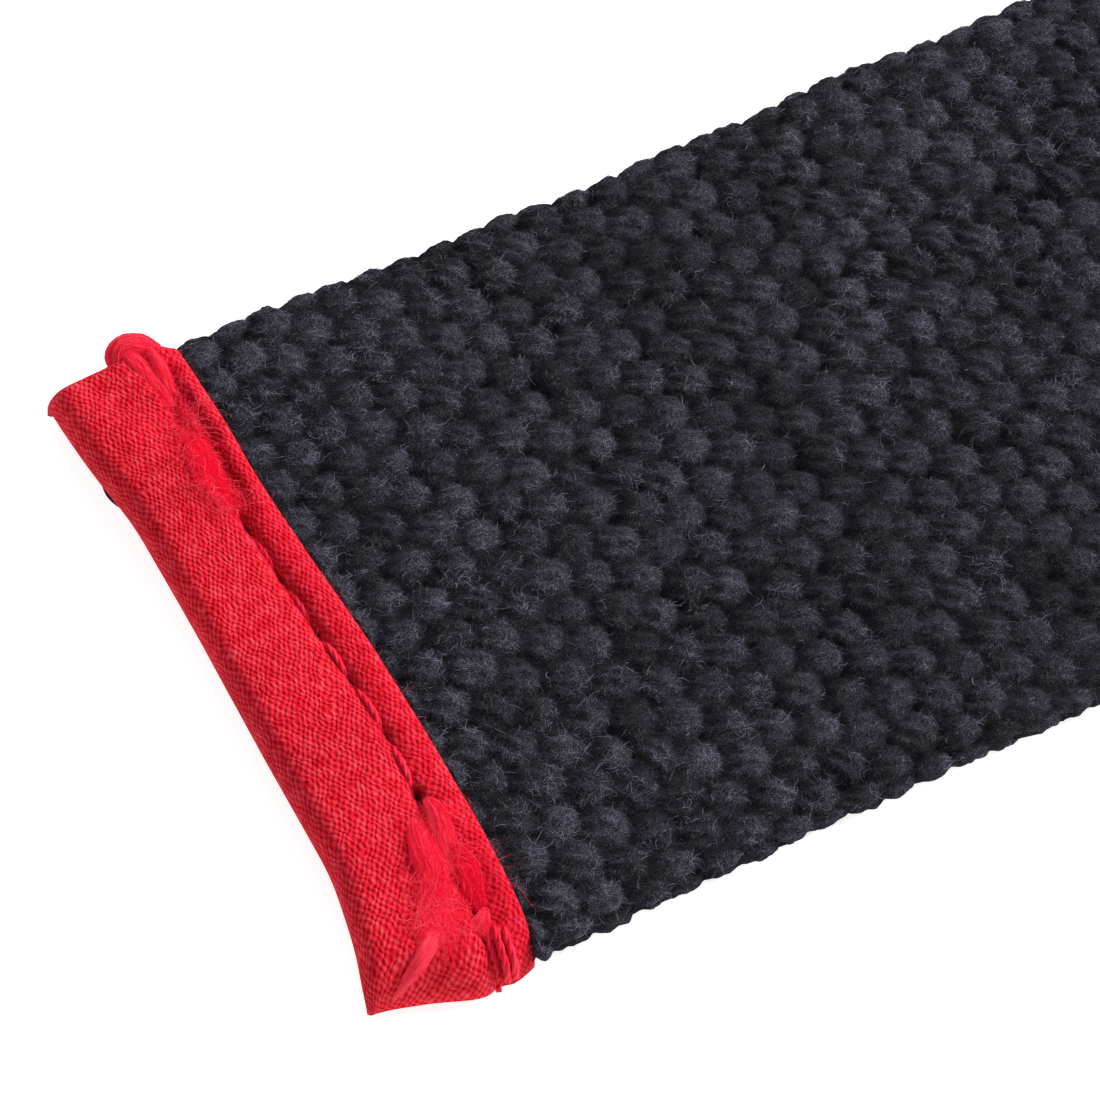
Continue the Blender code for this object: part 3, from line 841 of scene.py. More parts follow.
def thread_material(name="sewing_thread", stretch=1.0, glow=0.0):
    m, nt, b = new_mat(name)
    co = node(nt, "ShaderNodeTexCoord").outputs["Object"]
    rnd = node(nt, "ShaderNodeAttribute", attribute_name="rnd").outputs["Fac"]
    fine = node(nt, "ShaderNodeTexNoise", in_Scale=12000.0 * stretch, in_Detail=3.0, in_Roughness=0.7)
    nt.links.new(co, fine.inputs["Vector"])
    t = math_n(nt, "ADD", math_n(nt, "MULTIPLY", fine.outputs[0], 0.7), math_n(nt, "MULTIPLY", rnd, 0.3))
    col = ramp(nt, t, [(0.2, (0.66, 0.0005, 0.018)), (0.5, (0.92, 0.007, 0.044)), (0.8, (0.97, 0.050, 0.105))])
    nt.links.new(col, b.inputs["Base Color"])
    b.inputs["Roughness"].default_value = 0.6
    b.inputs["Specular IOR Level"].default_value = 0.15
    b.inputs["Sheen Weight"].default_value = 0.05
    b.inputs["Sheen Tint"].default_value = (1.0, 0.5, 0.55, 1.0)
    if glow:
        # painted glow: emission standing in for the light passed on between the floss fibres
        nt.links.new(col, b.inputs["Emission Color"])
        b.inputs["Emission Strength"].default_value = glow
    bump = node(nt, "ShaderNodeBump", in_Strength=0.5, in_Distance=0.00004)
    nt.links.new(fine.outputs[0], bump.inputs["Height"])
    nt.links.new(bump.outputs[0], b.inputs["Normal"])
    return m


MAT_WEB = webbing_material()
MAT_TAPE = tape_material()
MAT_THREAD = thread_material()
MAT_CORE = thread_material("thread_floss_core", 0.5, 0.12)
MAT_FUZZ = fuzz_material("cotton_fuzz_black", [(0.0, (0.0155, 0.0147, 0.0183)), (0.50, (0.053, 0.0500, 0.0645)),
                                               (0.86, (0.135, 0.131, 0.172)), (1.0, (0.33, 0.330, 0.43))])
MAT_LINT = fuzz_material("lint_pale", [(0.0, (0.20, 0.24, 0.32)), (1.0, (0.45, 0.50, 0.60))])
MAT_FLOSS = fuzz_material("thread_floss_red", [(0.0, (0.80, 0.0012, 0.028)), (0.5, (0.95, 0.008, 0.056)),
                                               (1.0, (0.97, 0.115, 0.175))], (1.0, 0.5, 0.6), 0.05, 0.15, 0.16)
MAT_TAPE_FUZZ = fuzz_material("tape_fuzz_red", [(0.0, (0.60, 0.004, 0.02)), (0.7, (0.88, 0.05, 0.08)),
                                                (1.0, (0.95, 0.16, 0.19))], (1.0, 0.6, 0.65), 0.05, 0.15)


def dress(ob, mat):
    ob.data.materials.append(mat)
    return ob


# --------------------------------------------------------------------- webbing
fine_s = 0.155
fine_c = 0.155
mid_s = 0.34
mid_c = 0.33

SHOW_END = 64.0
HINGE = 90.0


def spaced(a, b, step):
    return np.linspace(a, b, max(3, int(round((b - a) / step)) + 1))


near_c = samples(fine_c, 0.17, 0.42)
near_piece = web_piece("webbing_near_bound_end", spaced(1.25, 33.0, fine_s), near_c)
next_piece = web_piece("webbing_near_run", spaced(33.0, SHOW_END, fine_s), near_c)
flex_piece = web_piece("webbing_flex_run", spaced(SHOW_END, 152.0, mid_s), samples(mid_c, 0.4, mid_c))
rise_piece = web_piece("webbing_through_eye", spaced(152.0, MARK["tail"], mid_s), samples(mid_c, 0.4, mid_c))
mid_loop = (MARK["tail"] + MARK["loop"]) / 2
loop_a = web_piece("webbing_loop_tail_half", spaced(MARK["tail"], mid_loop, mid_s), samples(mid_c, 0.4, mid_c))
loop_b = web_piece("webbing_loop_eye_half", spaced(mid_loop, MARK["loop"], mid_s), samples(mid_c, 0.4, mid_c))
eye_piece = web_piece("webbing_sewn_eye", spaced(MARK["loop"], MARK["end"] - 0.1, mid_s), samples(mid_c, 0.4, mid_c))

for ob in (near_piece, next_piece, flex_piece, rise_piece, loop_a, loop_b, eye_piece):
    dress(ob, MAT_WEB)

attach(near_piece, "free_end")
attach(next_piece, "free_end")
tuple(to_world([74.0, 0, HALF_T]))
tuple(to_world([106.0, 0, HALF_T]))
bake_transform(flex_piece)
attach(rise_piece, "tail")
leg_a = np.array([EYE + LOOP_SIDE + LOOP_BEND_R, 0.0, 40.0])
leg_b = np.array([EYE, -LOOP_SIDE - LOOP_BEND_R, 40.0])
along = (leg_b - leg_a) / np.linalg.norm(leg_b - leg_a)
for ob in (loop_a, loop_b):
    tuple(to_world(leg_a + along * 19.0))
    tuple(to_world(leg_b - along * 19.0))
    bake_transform(ob)
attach(eye_piece, "eye")
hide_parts("webbing_free_end")
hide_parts("webbing_tail")
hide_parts("webbing_wrist_loop")
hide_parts("webbing_eye")


# ---------------------------------------------------------------- binding tape
tape, tape_len = build_tape()
dress(tape, MAT_TAPE)
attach(tape, "free_end")
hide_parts("end_binding_tape")


# ------------------------------------------------------------------- stitching
def ply_thread(paths, radius, ply_r, turns_per_mm, name, sides=6, plies=3):
    """Twisted thread along each path (k, 3): returns one mesh of all plies."""
    out = []
    for p in paths:
        p = np.asarray(p, float)
        d = np.gradient(p, axis=0)
        ln = np.concatenate([[0], np.cumsum(np.linalg.norm(np.diff(p, axis=0), axis=1))])
        d /= np.maximum(np.linalg.norm(d, axis=1, keepdims=True), 1e-9)
        ref = np.array([0.31, 0.17, 0.93])
        u = np.cross(d, ref)
        u /= np.linalg.norm(u, axis=1, keepdims=True)
        v = np.cross(d, u)
        for k in range(plies):
            a = 2 * math.pi * (ln * turns_per_mm + k / plies)
            out.append(p + (u * np.cos(a)[:, None] + v * np.sin(a)[:, None]) * (radius - ply_r))
    return tubes(name, np.stack(out), np.full(len(out), ply_r), sides=sides, taper=0.9)


def stitch_paths(a, b, pitch, height, k=26, dip=0.55, lift=0.10):
    """Stitches between points a and b on a surface given by height(x, y)."""
    a, b = np.asarray(a, float), np.asarray(b, float)
    n = max(1, int(round(np.linalg.norm(b - a) / pitch)))
    out = []
    for i in range(n):
        t = np.linspace(0, 1, k)
        f = (i + 0.04 + 0.92 * t) / n
        xy = a + (b - a) * f[:, None]
        arch = np.sin(math.pi * t) ** 0.45
        z = height(xy[:, 0], xy[:, 1]) + lift * arch - dip * (1 - arch)
        out.append(np.column_stack([xy, z]))
    return out


def skin(x, y, lift):
    """A point that lies lift mm above the tape."""
    return [float(x), float(y), float(tape_top(np.array([float(x)]), np.array([float(y)]))[0]) + TAPE_T / 2 + lift]


# needle thread of the binding seam, in its groove
seam = []
for h0, h1 in zip(HOLES[:-1], HOLES[1:]):
    t = np.linspace(0, 1, 32)
    y = h0 + 0.18 + (h1 - h0 - 0.36) * t
    x = x_seam(y) + 0.05 * np.sin(math.pi * t)
    arch = np.sin(math.pi * t) ** 0.55
    shown = 0.10 if h0 < -2 else 0.02
    z = tape_top(x, y) + TAPE_T / 2 + shown * arch - 0.45 * (1 - arch)
    seam.append(np.column_stack([x, y, z]))
ob = ply_thread(seam, 0.17, 0.098, 0.62, "seam_needle_thread")
dress(ob, MAT_THREAD)
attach(ob, "free_end")
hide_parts("binding_needle_thread")

low = []
for h0, h1 in zip(HOLES[:-1], HOLES[1:]):
    t = np.linspace(0, 1, 16)
    y = h0 + 0.1 + (h1 - h0 - 0.2) * t
    arch = np.sin(math.pi * t) ** 0.5
    low.append(np.column_stack([x_seam(y), y, 0.10 + 0.30 * (1 - arch)]))
ob = ply_thread(low, 0.10, 0.056, 0.62, "seam_bobbin_thread")
dress(ob, MAT_THREAD)
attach(ob, "free_end")
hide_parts("binding_bobbin_thread")

MULT = 1.0


def curve_through(pts, k):
    """Smooth curve of k points through a few guide points."""
    g = np.asarray(pts, float)
    gl = np.concatenate([[0], np.cumsum(np.linalg.norm(np.diff(g, axis=0), axis=1))])
    t = np.linspace(0, gl[-1], k)
    q = np.stack([np.interp(t, gl, g[:, m]) for m in range(3)], 1)
    for _ in range(max(2, k // 3)):
        q[1:-1] = 0.25 * q[:-2] + 0.5 * q[1:-1] + 0.25 * q[2:]
    return q


def tuft_shape(guide, width, height, k=36):
    """Guide curve with its side direction, half width and height along it."""
    q = curve_through(guide, k)
    d = np.gradient(q, axis=0)
    d /= np.linalg.norm(d, axis=1, keepdims=True)
    side = np.cross(d, [0.0, 0.0, 1.0])
    side /= np.linalg.norm(side, axis=1, keepdims=True)
    upv = np.cross(side, d)
    t = np.linspace(0, 1, k)
    w = np.interp(t, np.linspace(0, 1, len(width)), width)
    h = np.interp(t, np.linspace(0, 1, len(height)), height)
    for _ in range(4):
        w[1:-1] = 0.25 * w[:-2] + 0.5 * w[1:-1] + 0.25 * w[2:]
        h[1:-1] = 0.25 * h[:-2] + 0.5 * h[1:-1] + 0.25 * h[2:]
    return q, side, upv, w, h


def tuft_core(shape, sides=22, under=0.35):
    q, side, upv, w, h = shape
    a = np.linspace(0, 2 * math.pi, sides + 1)[:-1]
    ca, sa = np.cos(a), np.sin(a)
    rough = 0.92 + 0.20 * noise3(q[:, None, :] * 1.0 + np.stack([ca, sa, 0 * a], -1)[None] * 0.6, 0.5, 6.0)
    up = np.where(sa > 0, sa, sa * under)
    v = (q[:, None, :] + side[:, None, :] * (ca[None] * w[:, None] * rough)[..., None]
         + upv[:, None, :] * (up[None] * h[:, None] * rough)[..., None])
    return v


def tuft_fibres(shape, count, k=10, loose=0.06, skew=0.12, start=(0.0, 0.35), length=(0.35, 0.9), out=0.03):
    """Fine fibres that lie on the tuft's surface, mostly along it."""
    q, side, upv, w, h = shape
    n = len(q)
    res = np.zeros((count, k, 3))
    for i in range(count):
        t0 = RNG.uniform(*start) if RNG.random() < 0.5 else RNG.uniform(0, 0.8)
        t1 = min(1.0, t0 + RNG.uniform(*length))
        t = np.linspace(t0, t1, k)
        ph = RNG.uniform(-0.15, math.pi + 0.15)
        ph = ph + RNG.normal(0, skew) * 4 * (t - t0) + 0.12 * np.sin(RNG.uniform(4, 12) * t + RNG.uniform(0, 6.3))
        f = t * (n - 1)
        i0 = np.clip(f.astype(int), 0, n - 2)
        g = (f - i0)[:, None]
        P = q[i0] * (1 - g) + q[i0 + 1] * g
        S = side[i0] * (1 - g) + side[i0 + 1] * g
        U = upv[i0] * (1 - g) + upv[i0 + 1] * g
        W_ = (w[i0] * (1 - g[:, 0]) + w[i0 + 1] * g[:, 0])
        H_ = (h[i0] * (1 - g[:, 0]) + h[i0 + 1] * g[:, 0])
        lift = out + abs(RNG.normal(0, loose)) * (t - t0) / max(t1 - t0, 1e-6)
        res[i] = (P + S * ((W_ + lift) * np.cos(ph))[:, None]
                  + U * ((H_ + lift) * np.clip(np.sin(ph), -0.1, 1))[:, None])
    return res


def cores_mesh(name, shapes, unders, sides=22):
    verts, quads, tris = [], [], []
    base = 0
    for sh, under in zip(shapes, unders):
        v = tuft_core(sh, sides, under)
        n, m, _ = v.shape
        verts.append(v.reshape(-1, 3))
        quads.append(tube_grid(n, m)[:, ::-1] + base)
        c0 = base + n * m
        verts.append(np.stack([v[0].mean(0), v[-1].mean(0)]))
        j = np.arange(m)
        tris.append(np.stack([np.full(m, c0), j + base, (j + 1) % m + base], 1))
        o = base + (n - 1) * m
        tris.append(np.stack([np.full(m, c0 + 1), (j + 1) % m + o, j + o], 1))
        base += n * m + 2
    ob = make_mesh(name, to_world(np.concatenate(verts)), np.concatenate(quads), np.concatenate(tris))
    point_attr(ob, "rnd", np.full(len(ob.data.vertices), 0.4))
    return ob


def floss(name, tufts, loose_groups=(), node_name=None, loose_shades=(0.0, 0.0, 0.0, 0.0)):
    shapes = [tuft_shape(t["guide"], t["w"], t["h"]) for t in tufts]
    core = cores_mesh(name + "_core", shapes, [t.get("under", 0.35) for t in tufts])
    dress(core, MAT_CORE)
    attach(core, "free_end")
    paths = [tuft_fibres(sh, max(8, int(t["n"] * MULT)), **t.get("opt", {})) for sh, t in zip(shapes, tufts)]
    shades = [t.get("shade", 0.0) for t in tufts]
    for label, group, shade in (("_fibres", paths, shades), ("_loose_fibres", list(loose_groups), loose_shades)):
        allp = np.concatenate(group)
        tone = np.concatenate([RNG.random(len(g)) + d for g, d in zip(group, shade)])
        ob = tubes(name + label, allp, RNG.uniform(0.007, 0.013, len(allp)), tone=tone)
        dress(ob, MAT_FLOSS)
        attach(ob, "free_end")
    if node_name:
        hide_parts(node_name)
    return core, ob


def wisps(points, count, spread, length, lift=0.12, direction=None, dspread=1.0, k=9):
    """Loose curled fibres scattered round a few points of the tape."""
    pts = np.asarray(points, float)
    out = np.zeros((count, k, 3))
    for i in range(count):
        c = pts[RNG.integers(len(pts))]
        x, y = c[0] + RNG.normal(0, spread), c[1] + RNG.normal(0, spread)
        a = RNG.uniform(0, 2 * math.pi) if direction is None else math.atan2(direction[1], direction[0]) + RNG.normal(0, dspread)
        L = length * RNG.gamma(4.0, 0.25)
        t = np.linspace(0, 1, k)
        bend = RNG.normal(0, 1.1)
        ang = a + bend * t + 0.5 * np.sin(RNG.uniform(2, 6) * t + RNG.uniform(0, 6.3))
        px = x + np.concatenate([[0], np.cumsum(np.cos(ang[1:]))]) * L / (k - 1)
        py = y + np.concatenate([[0], np.cumsum(np.sin(ang[1:]))]) * L / (k - 1)
        py = np.maximum(py, near_y(px) + 0.45)
        hz = RNG.uniform(0.01, lift) + RNG.uniform(0, lift) * np.sin(math.pi * t * RNG.uniform(0.4, 1.0))
        z = tape_top(px, py) + TAPE_T / 2 + hz
        out[i] = np.column_stack([px, py, z])
    return out


# far backtack: the thread mass rolled over the edge, its twisted run down the
# seam, a messy spot where it sinks, and the soft tuft after it
far = [
    dict(guide=[[3.2, 19.0, 1.9], [3.35, 19.35, 2.65], [3.9, 19.45, 2.95], [4.6, 19.15, 3.0], [5.35, 18.55, 2.85]],
         w=[0.30, 0.58, 0.66, 0.56, 0.26], h=[0.24, 0.52, 0.56, 0.46, 0.14], under=1.1, n=900,
         opt=dict(skew=0.22, loose=0.05)),
    dict(guide=[[3.75, 19.1, 3.0], skin(4.05, 18.3, 0.10), skin(4.3, 17.2, 0.08), skin(4.5, 16.2, 0.02), skin(4.62, 15.2, -0.08)],
         w=[0.26, 0.38, 0.34, 0.28, 0.14], h=[0.26, 0.30, 0.26, 0.20, 0.08], n=560, opt=dict(skew=0.30, loose=0.07)),
    dict(guide=[skin(4.9, 18.6, 0.0), skin(4.95, 17.9, 0.04), skin(4.95, 16.9, 0.0), skin(4.9, 15.9, -0.08)],
         w=[0.16, 0.26, 0.24, 0.10], h=[0.14, 0.22, 0.18, 0.06], n=300, opt=dict(skew=0.25, loose=0.07)),
    dict(guide=[skin(4.72, 14.0, -0.10), skin(4.55, 12.9, -0.02), skin(4.40, 11.5, 0.0), skin(4.36, 10.2, -0.02), skin(4.5, 9.1, -0.05), skin(4.75, 8.3, -0.12)],
         w=[0.40, 0.66, 0.70, 0.60, 0.44, 0.20], h=[0.12, 0.30, 0.34, 0.30, 0.20, 0.05], n=1500, shade=-0.45,
         opt=dict(skew=0.14, loose=0.10, length=(0.3, 0.8))),
]
floss("backtack_far", far,
      [wisps([skin(4.8, 14.6, 0), skin(5.1, 14.2, 0)], max(8, int(150 * MULT)), 0.30, 0.8, lift=0.20),
       wisps([skin(4.3, 18.6, 0), skin(4.6, 17.2, 0), skin(4.9, 16.4, 0)], max(8, int(260 * MULT)), 0.32, 0.7,
             direction=(0.25, -1.0), dspread=0.6),
       wisps([skin(4.7, 13.6, 0), skin(4.5, 12.2, 0), skin(4.35, 10.6, 0), skin(4.6, 9.2, 0)], max(8, int(520 * MULT)), 0.42, 1.0,
             lift=0.34, direction=(0.05, -1.0), dspread=0.35)],
      "binding_backtack_far")

# near backtack: two tufts out of the last seam hole, their loose end drawn out
# to the outer corner, a third along the strip, and a small fan at the edge
near = [
    dict(guide=[skin(6.0, -9.95, -0.08), skin(6.12, -10.9, 0.0), skin(5.85, -12.0, 0.02), skin(5.6, -13.0, 0.0), skin(5.35, -14.1, -0.10)],
         w=[0.20, 0.42, 0.46, 0.40, 0.22], h=[0.12, 0.32, 0.34, 0.24, 0.06], n=800, opt=dict(skew=0.10, loose=0.08)),
    dict(guide=[skin(5.05, -10.6, -0.10), skin(4.75, -11.7, -0.02), skin(4.58, -13.0, 0.0), skin(4.35, -14.2, -0.04), skin(4.05, -15.2, -0.12)],
         w=[0.26, 0.54, 0.62, 0.56, 0.40], h=[0.08, 0.26, 0.30, 0.20, 0.05], n=900, shade=-0.14, opt=dict(skew=0.14, loose=0.09)),
    dict(guide=[skin(6.15, -12.3, -0.12), skin(6.15, -13.3, -0.05), skin(6.02, -14.5, -0.04), skin(5.85, -15.6, -0.06), skin(5.75, -16.5, -0.12)],
         w=[0.16, 0.40, 0.46, 0.36, 0.20], h=[0.02, 0.10, 0.11, 0.09, 0.02], n=620, shade=-0.62, opt=dict(skew=0.16, loose=0.05)),
    # this tail's shade of +0.25 lightens its fibres: painted light on a tuft that faces away from the lamps
    dict(guide=[skin(3.6, -16.0, -0.06), skin(2.9, -16.7, 0.04), skin(2.2, -17.2, 0.06), skin(1.4, -17.45, 0.0), [0.50, -17.62, 1.15]],
         w=[0.34, 0.36, 0.30, 0.22, 0.06], h=[0.08, 0.22, 0.24, 0.17, 0.05], n=560, shade=0.25, opt=dict(skew=0.10, loose=0.05)),
    dict(guide=[skin(5.85, -16.3, -0.06), skin(5.45, -16.85, 0.02), skin(4.95, -17.3, -0.08)],
         w=[0.14, 0.42, 0.60], h=[0.10, 0.20, 0.04], n=420, opt=dict(skew=0.12, loose=0.07)),
]
floss("backtack_near", near,
      [wisps([skin(4.2, -14.6, 0), skin(4.0, -15.2, 0), skin(3.7, -15.9, 0)], max(8, int(700 * MULT)), 0.36, 1.2,
             lift=0.15, direction=(-0.25, -1.0), dspread=0.22),
       wisps([skin(3.4, -16.0, 0), skin(3.9, -16.2, 0), skin(3.0, -15.7, 0)], max(8, int(420 * MULT)), 0.50, 0.6,
             lift=0.18, direction=(-0.6, -1.0), dspread=1.2),
       wisps([skin(5.9, -11.0, 0), skin(5.6, -12.8, 0), skin(4.7, -12.4, 0), skin(4.4, -13.8, 0)], max(8, int(700 * MULT)), 0.36, 1.1,
             lift=0.26, direction=(-0.15, -1.0), dspread=0.30),
       wisps([skin(5.2, -12.0, 0), skin(5.6, -14.5, 0), skin(6.3, -15.0, 0), skin(6.3, -13.0, 0), skin(5.5, -16.5, 0)], max(8, int(300 * MULT)), 0.5, 0.9,
             lift=0.14, direction=(-0.15, -1.0), dspread=0.6)],
      "binding_backtack_near", (0.0, 0.0, 0.0, -0.35))

# thread loops drawn over the near edge
loops = []
for x0, x1, y0, sink in ((5.75, 5.45, -17.3, -0.02), (6.15, 5.85, -17.6, -0.04)):
    t = np.linspace(0, 0.80, 34)
    y = y0 + (-18.55 - y0) * np.clip(t / 0.6, 0, 1) ** 0.9
    x = x0 + (x1 - x0) * t
    z = tape_top(x, y) + TAPE_T / 2 + 0.13 + sink
    over = ease((t - 0.5) / 0.5)
    y = y - 0.62 * np.sin(math.pi * np.clip((t - 0.35) / 0.65, 0, 1) * 0.72)
    z = z * (1 - over) + 0.28 * over
    z[0] -= 0.3
    loops.append(curve_through(np.column_stack([x, y, z]), 34))
ob = ply_thread(loops, 0.19, 0.11, 0.55, "backtack_near_edge_loops")
dress(ob, MAT_THREAD)
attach(ob, "free_end")


# --------------------------------------------------------------- eye stitching
def eye_top(x, y):
    return np.full_like(np.asarray(x, float), Z_SEWN_UP + HALF_T - 0.10)


def eye_low(x, y):
    return np.full_like(np.asarray(x, float), 0.40)


x0, x1, y0, y1 = EYE - 15.0, EYE + 15.0, -44.0, -31.2
corners = [(x0, y1), (x1, y1), (x1, y0), (x0, y0), (x0, y1)]
inner_box = [(x0 + 3, y1 - 3), (x1 - 3, y1 - 3), (x1 - 3, y0 + 3), (x0 + 3, y0 + 3), (x0 + 3, y1 - 3)]
top_runs, low_runs = [], []
for cs in (corners, inner_box):
    for a, b in zip(cs[:-1], cs[1:]):
        top_runs += stitch_paths(a, b, 3.3, eye_top, k=20)
        low_runs += [np.column_stack([p[:, 0], p[:, 1], 0.22 + 0.5 * (1 - np.sin(math.pi * np.linspace(0, 1, len(p))) ** 0.45)])
                     for p in stitch_paths(a, b, 3.3, eye_top, k=20)]
ob = ply_thread(top_runs, 0.21, 0.115, 0.5, "eye_box_stitches")
dress(ob, MAT_THREAD)
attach(ob, "eye")
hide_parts("eye_box_needle_thread")
ob = ply_thread(low_runs, 0.14, 0.08, 0.5, "eye_box_under_stitches")
dress(ob, MAT_THREAD)
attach(ob, "eye")
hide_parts("eye_box_bobbin_thread")
tack = []
zz = Z_SEWN_UP + HALF_T - 0.02
n = 64
for i in range(n):
    xa = EYE - 16.0 + 32.0 * i / n
    xb = EYE - 16.0 + 32.0 * (i + 1) / n
    ya, yb = (-26.5, -29.2) if i % 2 else (-29.2, -26.5)
    t = np.linspace(0, 1, 12)
    arch = np.sin(math.pi * t) ** 0.4
    tack.append(np.column_stack([xa + (xb - xa) * t, ya + (yb - ya) * t, zz + 0.12 * arch - 0.45 * (1 - arch)]))
ob = ply_thread(tack, 0.21, 0.115, 0.5, "eye_bartack_stitches", sides=5)
dress(ob, MAT_THREAD)
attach(ob, "eye")
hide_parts("eye_bartack_thread")


# ------------------------------------------------------------------------ fuzz
def fuzz(name, s, c, length, radius, lift_lo, lift_hi, k=5, mat=None, curl=0.8):
    n = len(s)
    P, W, N = frames_at(s)
    y, z, ny, nz = section(c)
    pos = surface(P, W, N, s, c, y, z, ny, nz, 0.02)[0]
    nrm = W * ny[:, None] + N * nz[:, None]
    ref = np.cross(nrm, RNG.normal(size=(n, 3)))
    ref /= np.linalg.norm(ref, axis=1, keepdims=True)
    side = np.cross(nrm, ref)
    el = RNG.uniform(lift_lo, lift_hi, n)[:, None]
    L = length[:, None]
    t = np.linspace(0, 1, k)[None, :]
    turn = RNG.normal(0, curl, (n, 1)) * 1.6
    ang = turn * t
    rise = el * (1 - 1.5 * t * RNG.uniform(0.5, 1.0, (n, 1)))
    step = L / (k - 1)
    dx = np.cos(ang) * np.cos(rise) * step
    dy = np.sin(ang) * np.cos(rise) * step
    dz = np.sin(rise) * step
    cx, cy, cz = [np.concatenate([np.zeros((n, 1)), np.cumsum(d[:, 1:], 1)], 1) for d in (dx, dy, dz)]
    cz = np.maximum(cz, 0.015)
    paths = pos[:, None, :] + ref[:, None, :] * cx[..., None] + side[:, None, :] * cy[..., None] + nrm[:, None, :] * cz[..., None]
    # fibres lie in clumps; those on the side of each float that faces the key lamp are paler, a painted highlight
    lat = np.stack([s, c, 0 * s], -1)
    lit_side = weave(s - 0.25, c + 0.14)[0] - weave(s + 0.25, c - 0.14)[0]
    tone = RNG.random(n) + 0.42 * noise3(lat, 0.50, 5.0) + 0.26 * noise3(lat, 1.4, 17.0) + 0.50 * np.clip(lit_side, -0.5, 0.5) - 0.05
    # paler and with more contrast near the tape, paler past 38 mm along, a little darker round 29 mm
    near_tape = 1 - ease((s - 12.0) / 22.0)
    tone = 0.5 + (tone - 0.5) * (1 + 0.25 * near_tape) + 0.07 * near_tape + 0.09 * ease((s - 38.0) / 10.0) - 0.11 * np.exp(-((s - 29.0) / 9.0) ** 2)
    ob = tubes(name, paths, radius, tone=tone)
    ob.data.materials.append(mat)
    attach(ob, "free_end")
    return ob


def scatter(n, s0, s1, bias):
    """Random places on the upper face and selvedges, mostly on the floats."""
    m = n * 3
    s = RNG.uniform(s0, s1, m)
    c = np.where(RNG.random(m) < 0.5, RNG.uniform(0, FLATHALF + 1.5, m), PERIM - RNG.uniform(0, FLATHALF + 1.5, m))
    F, _ = weave(s, c)
    y = section(c)[0]
    clear = s > x_inner(y) + 0.06
    keep = np.flatnonzero(clear & (RNG.random(m) < np.clip(F * 1.3 - bias, 0.03, 1)))[:n]
    return s[keep], c[keep]


per = 9900
for g in range(14):
    s, c = scatter(per, 6.3, SHOW_END - 0.5, 0.34)
    ln = RNG.gamma(3.2, 0.100, len(s)).clip(0.12, 0.9)
    fuzz(f"webbing_fuzz_{g + 1}", s, c, ln, RNG.uniform(0.0055, 0.0085, len(s)), 0.0, 0.42, k=4, mat=MAT_FUZZ, curl=0.80)
s, c = scatter(60, 9, SHOW_END - 2, 0.1)
fuzz("webbing_lint", s, c, RNG.uniform(0.12, 0.55, len(s)), RNG.uniform(0.010, 0.018, len(s)), 0.1, 0.7, k=6, mat=MAT_LINT, curl=1.2)

# stray red fibres over the tape's inner edge, and the nap of the tape
n = 420
y = RNG.uniform(-18.4, 18.4, n)
x = x_inner(y) + RNG.normal(-0.10, 0.08, n)
z = tape_top(x_inner(y) - 0.30, y) + TAPE_T / 2 - RNG.uniform(0.05, 0.35, n)
t = np.linspace(0, 1, 7)
ang = RNG.normal(0.0, 1.0, n)
ln = RNG.gamma(2.2, 0.10, n).clip(0.06, 0.5)
ln[:8] = RNG.uniform(0.35, 0.6, 8)
d = np.column_stack([np.cos(ang), np.sin(ang), RNG.uniform(-0.1, 0.4, n)])
cu = np.column_stack([RNG.normal(0, 0.4, n), RNG.normal(0, 0.9, n), -RNG.uniform(0, 0.5, n)])
paths = (np.column_stack([x, y, z])[:, None, :] + d[:, None, :] * (ln[:, None] * t)[..., None]
         + cu[:, None, :] * (ln[:, None] * t * t)[..., None])
ob = tubes("tape_edge_strays", paths, RNG.uniform(0.004, 0.007, n))
dress(ob, MAT_TAPE_FUZZ)
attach(ob, "free_end")

n = 7000
y = RNG.uniform(-18.6, 18.8, n)
f = RNG.random(n)
x = x_outer(y) + 0.8 + (x_inner(y) - 0.3 - x_outer(y) - 0.8) * f
inside = (y > near_y(x) + 0.45) & (y < far_y(x) - 0.45)
x, y = x[inside], y[inside]
n = len(x)
z = tape_top(x, y) + TAPE_T / 2 - 0.02
ang = RNG.uniform(0, 2 * math.pi, n)
el = RNG.uniform(0.02, 0.5, n)
ln = RNG.gamma(2.5, 0.08, n).clip(0.06, 0.8)
d = np.column_stack([np.cos(ang) * np.cos(el), np.sin(ang) * np.cos(el), np.sin(el)])
cu = np.column_stack([RNG.normal(0, 0.6, n), RNG.normal(0, 0.6, n), -RNG.uniform(0.1, 0.5, n)])
t = np.linspace(0, 1, 4)
paths = (np.column_stack([x, y, z])[:, None, :] + d[:, None, :] * (ln[:, None] * t)[..., None]
         + cu[:, None, :] * (ln[:, None] * t * t)[..., None])
ob = tubes("tape_nap", paths, RNG.uniform(0.005, 0.009, n))
dress(ob, MAT_TAPE_FUZZ)
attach(ob, "free_end")

# frayed end of a warp yarn that shows under the tape's fold at the far side
t = np.linspace(0, 1, 24)
yarn = [np.column_stack([0.66 - 0.50 * np.sin(math.pi * t) ** 0.7, 15.0 - 2.7 * t, 0.34 + 0.08 * np.sin(math.pi * t)])]
ob = ply_thread(yarn, 0.17, 0.11, 0.25, "frayed_warp_end", sides=8)
ob.data.materials.append(MAT_WEB)
# a fixed float height, so the webbing material paints a middling shade on it
point_attr(ob, "wv", np.full(len(ob.data.vertices), 0.6))
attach(ob, "free_end")


# --------------------------------------------------------- floor, light, camera
def floor_material():
    m, nt, b = new_mat("floor_white")
    b.inputs["Base Color"].default_value = (0.66, 0.66, 0.66, 1.0)
    b.inputs["Roughness"].default_value = 0.9
    b.inputs["Specular IOR Level"].default_value = 0.1
    b.inputs["Emission Color"].default_value = (1.0, 1.0, 1.0, 1.0)
    b.inputs["Emission Strength"].default_value = 0.84
    return m


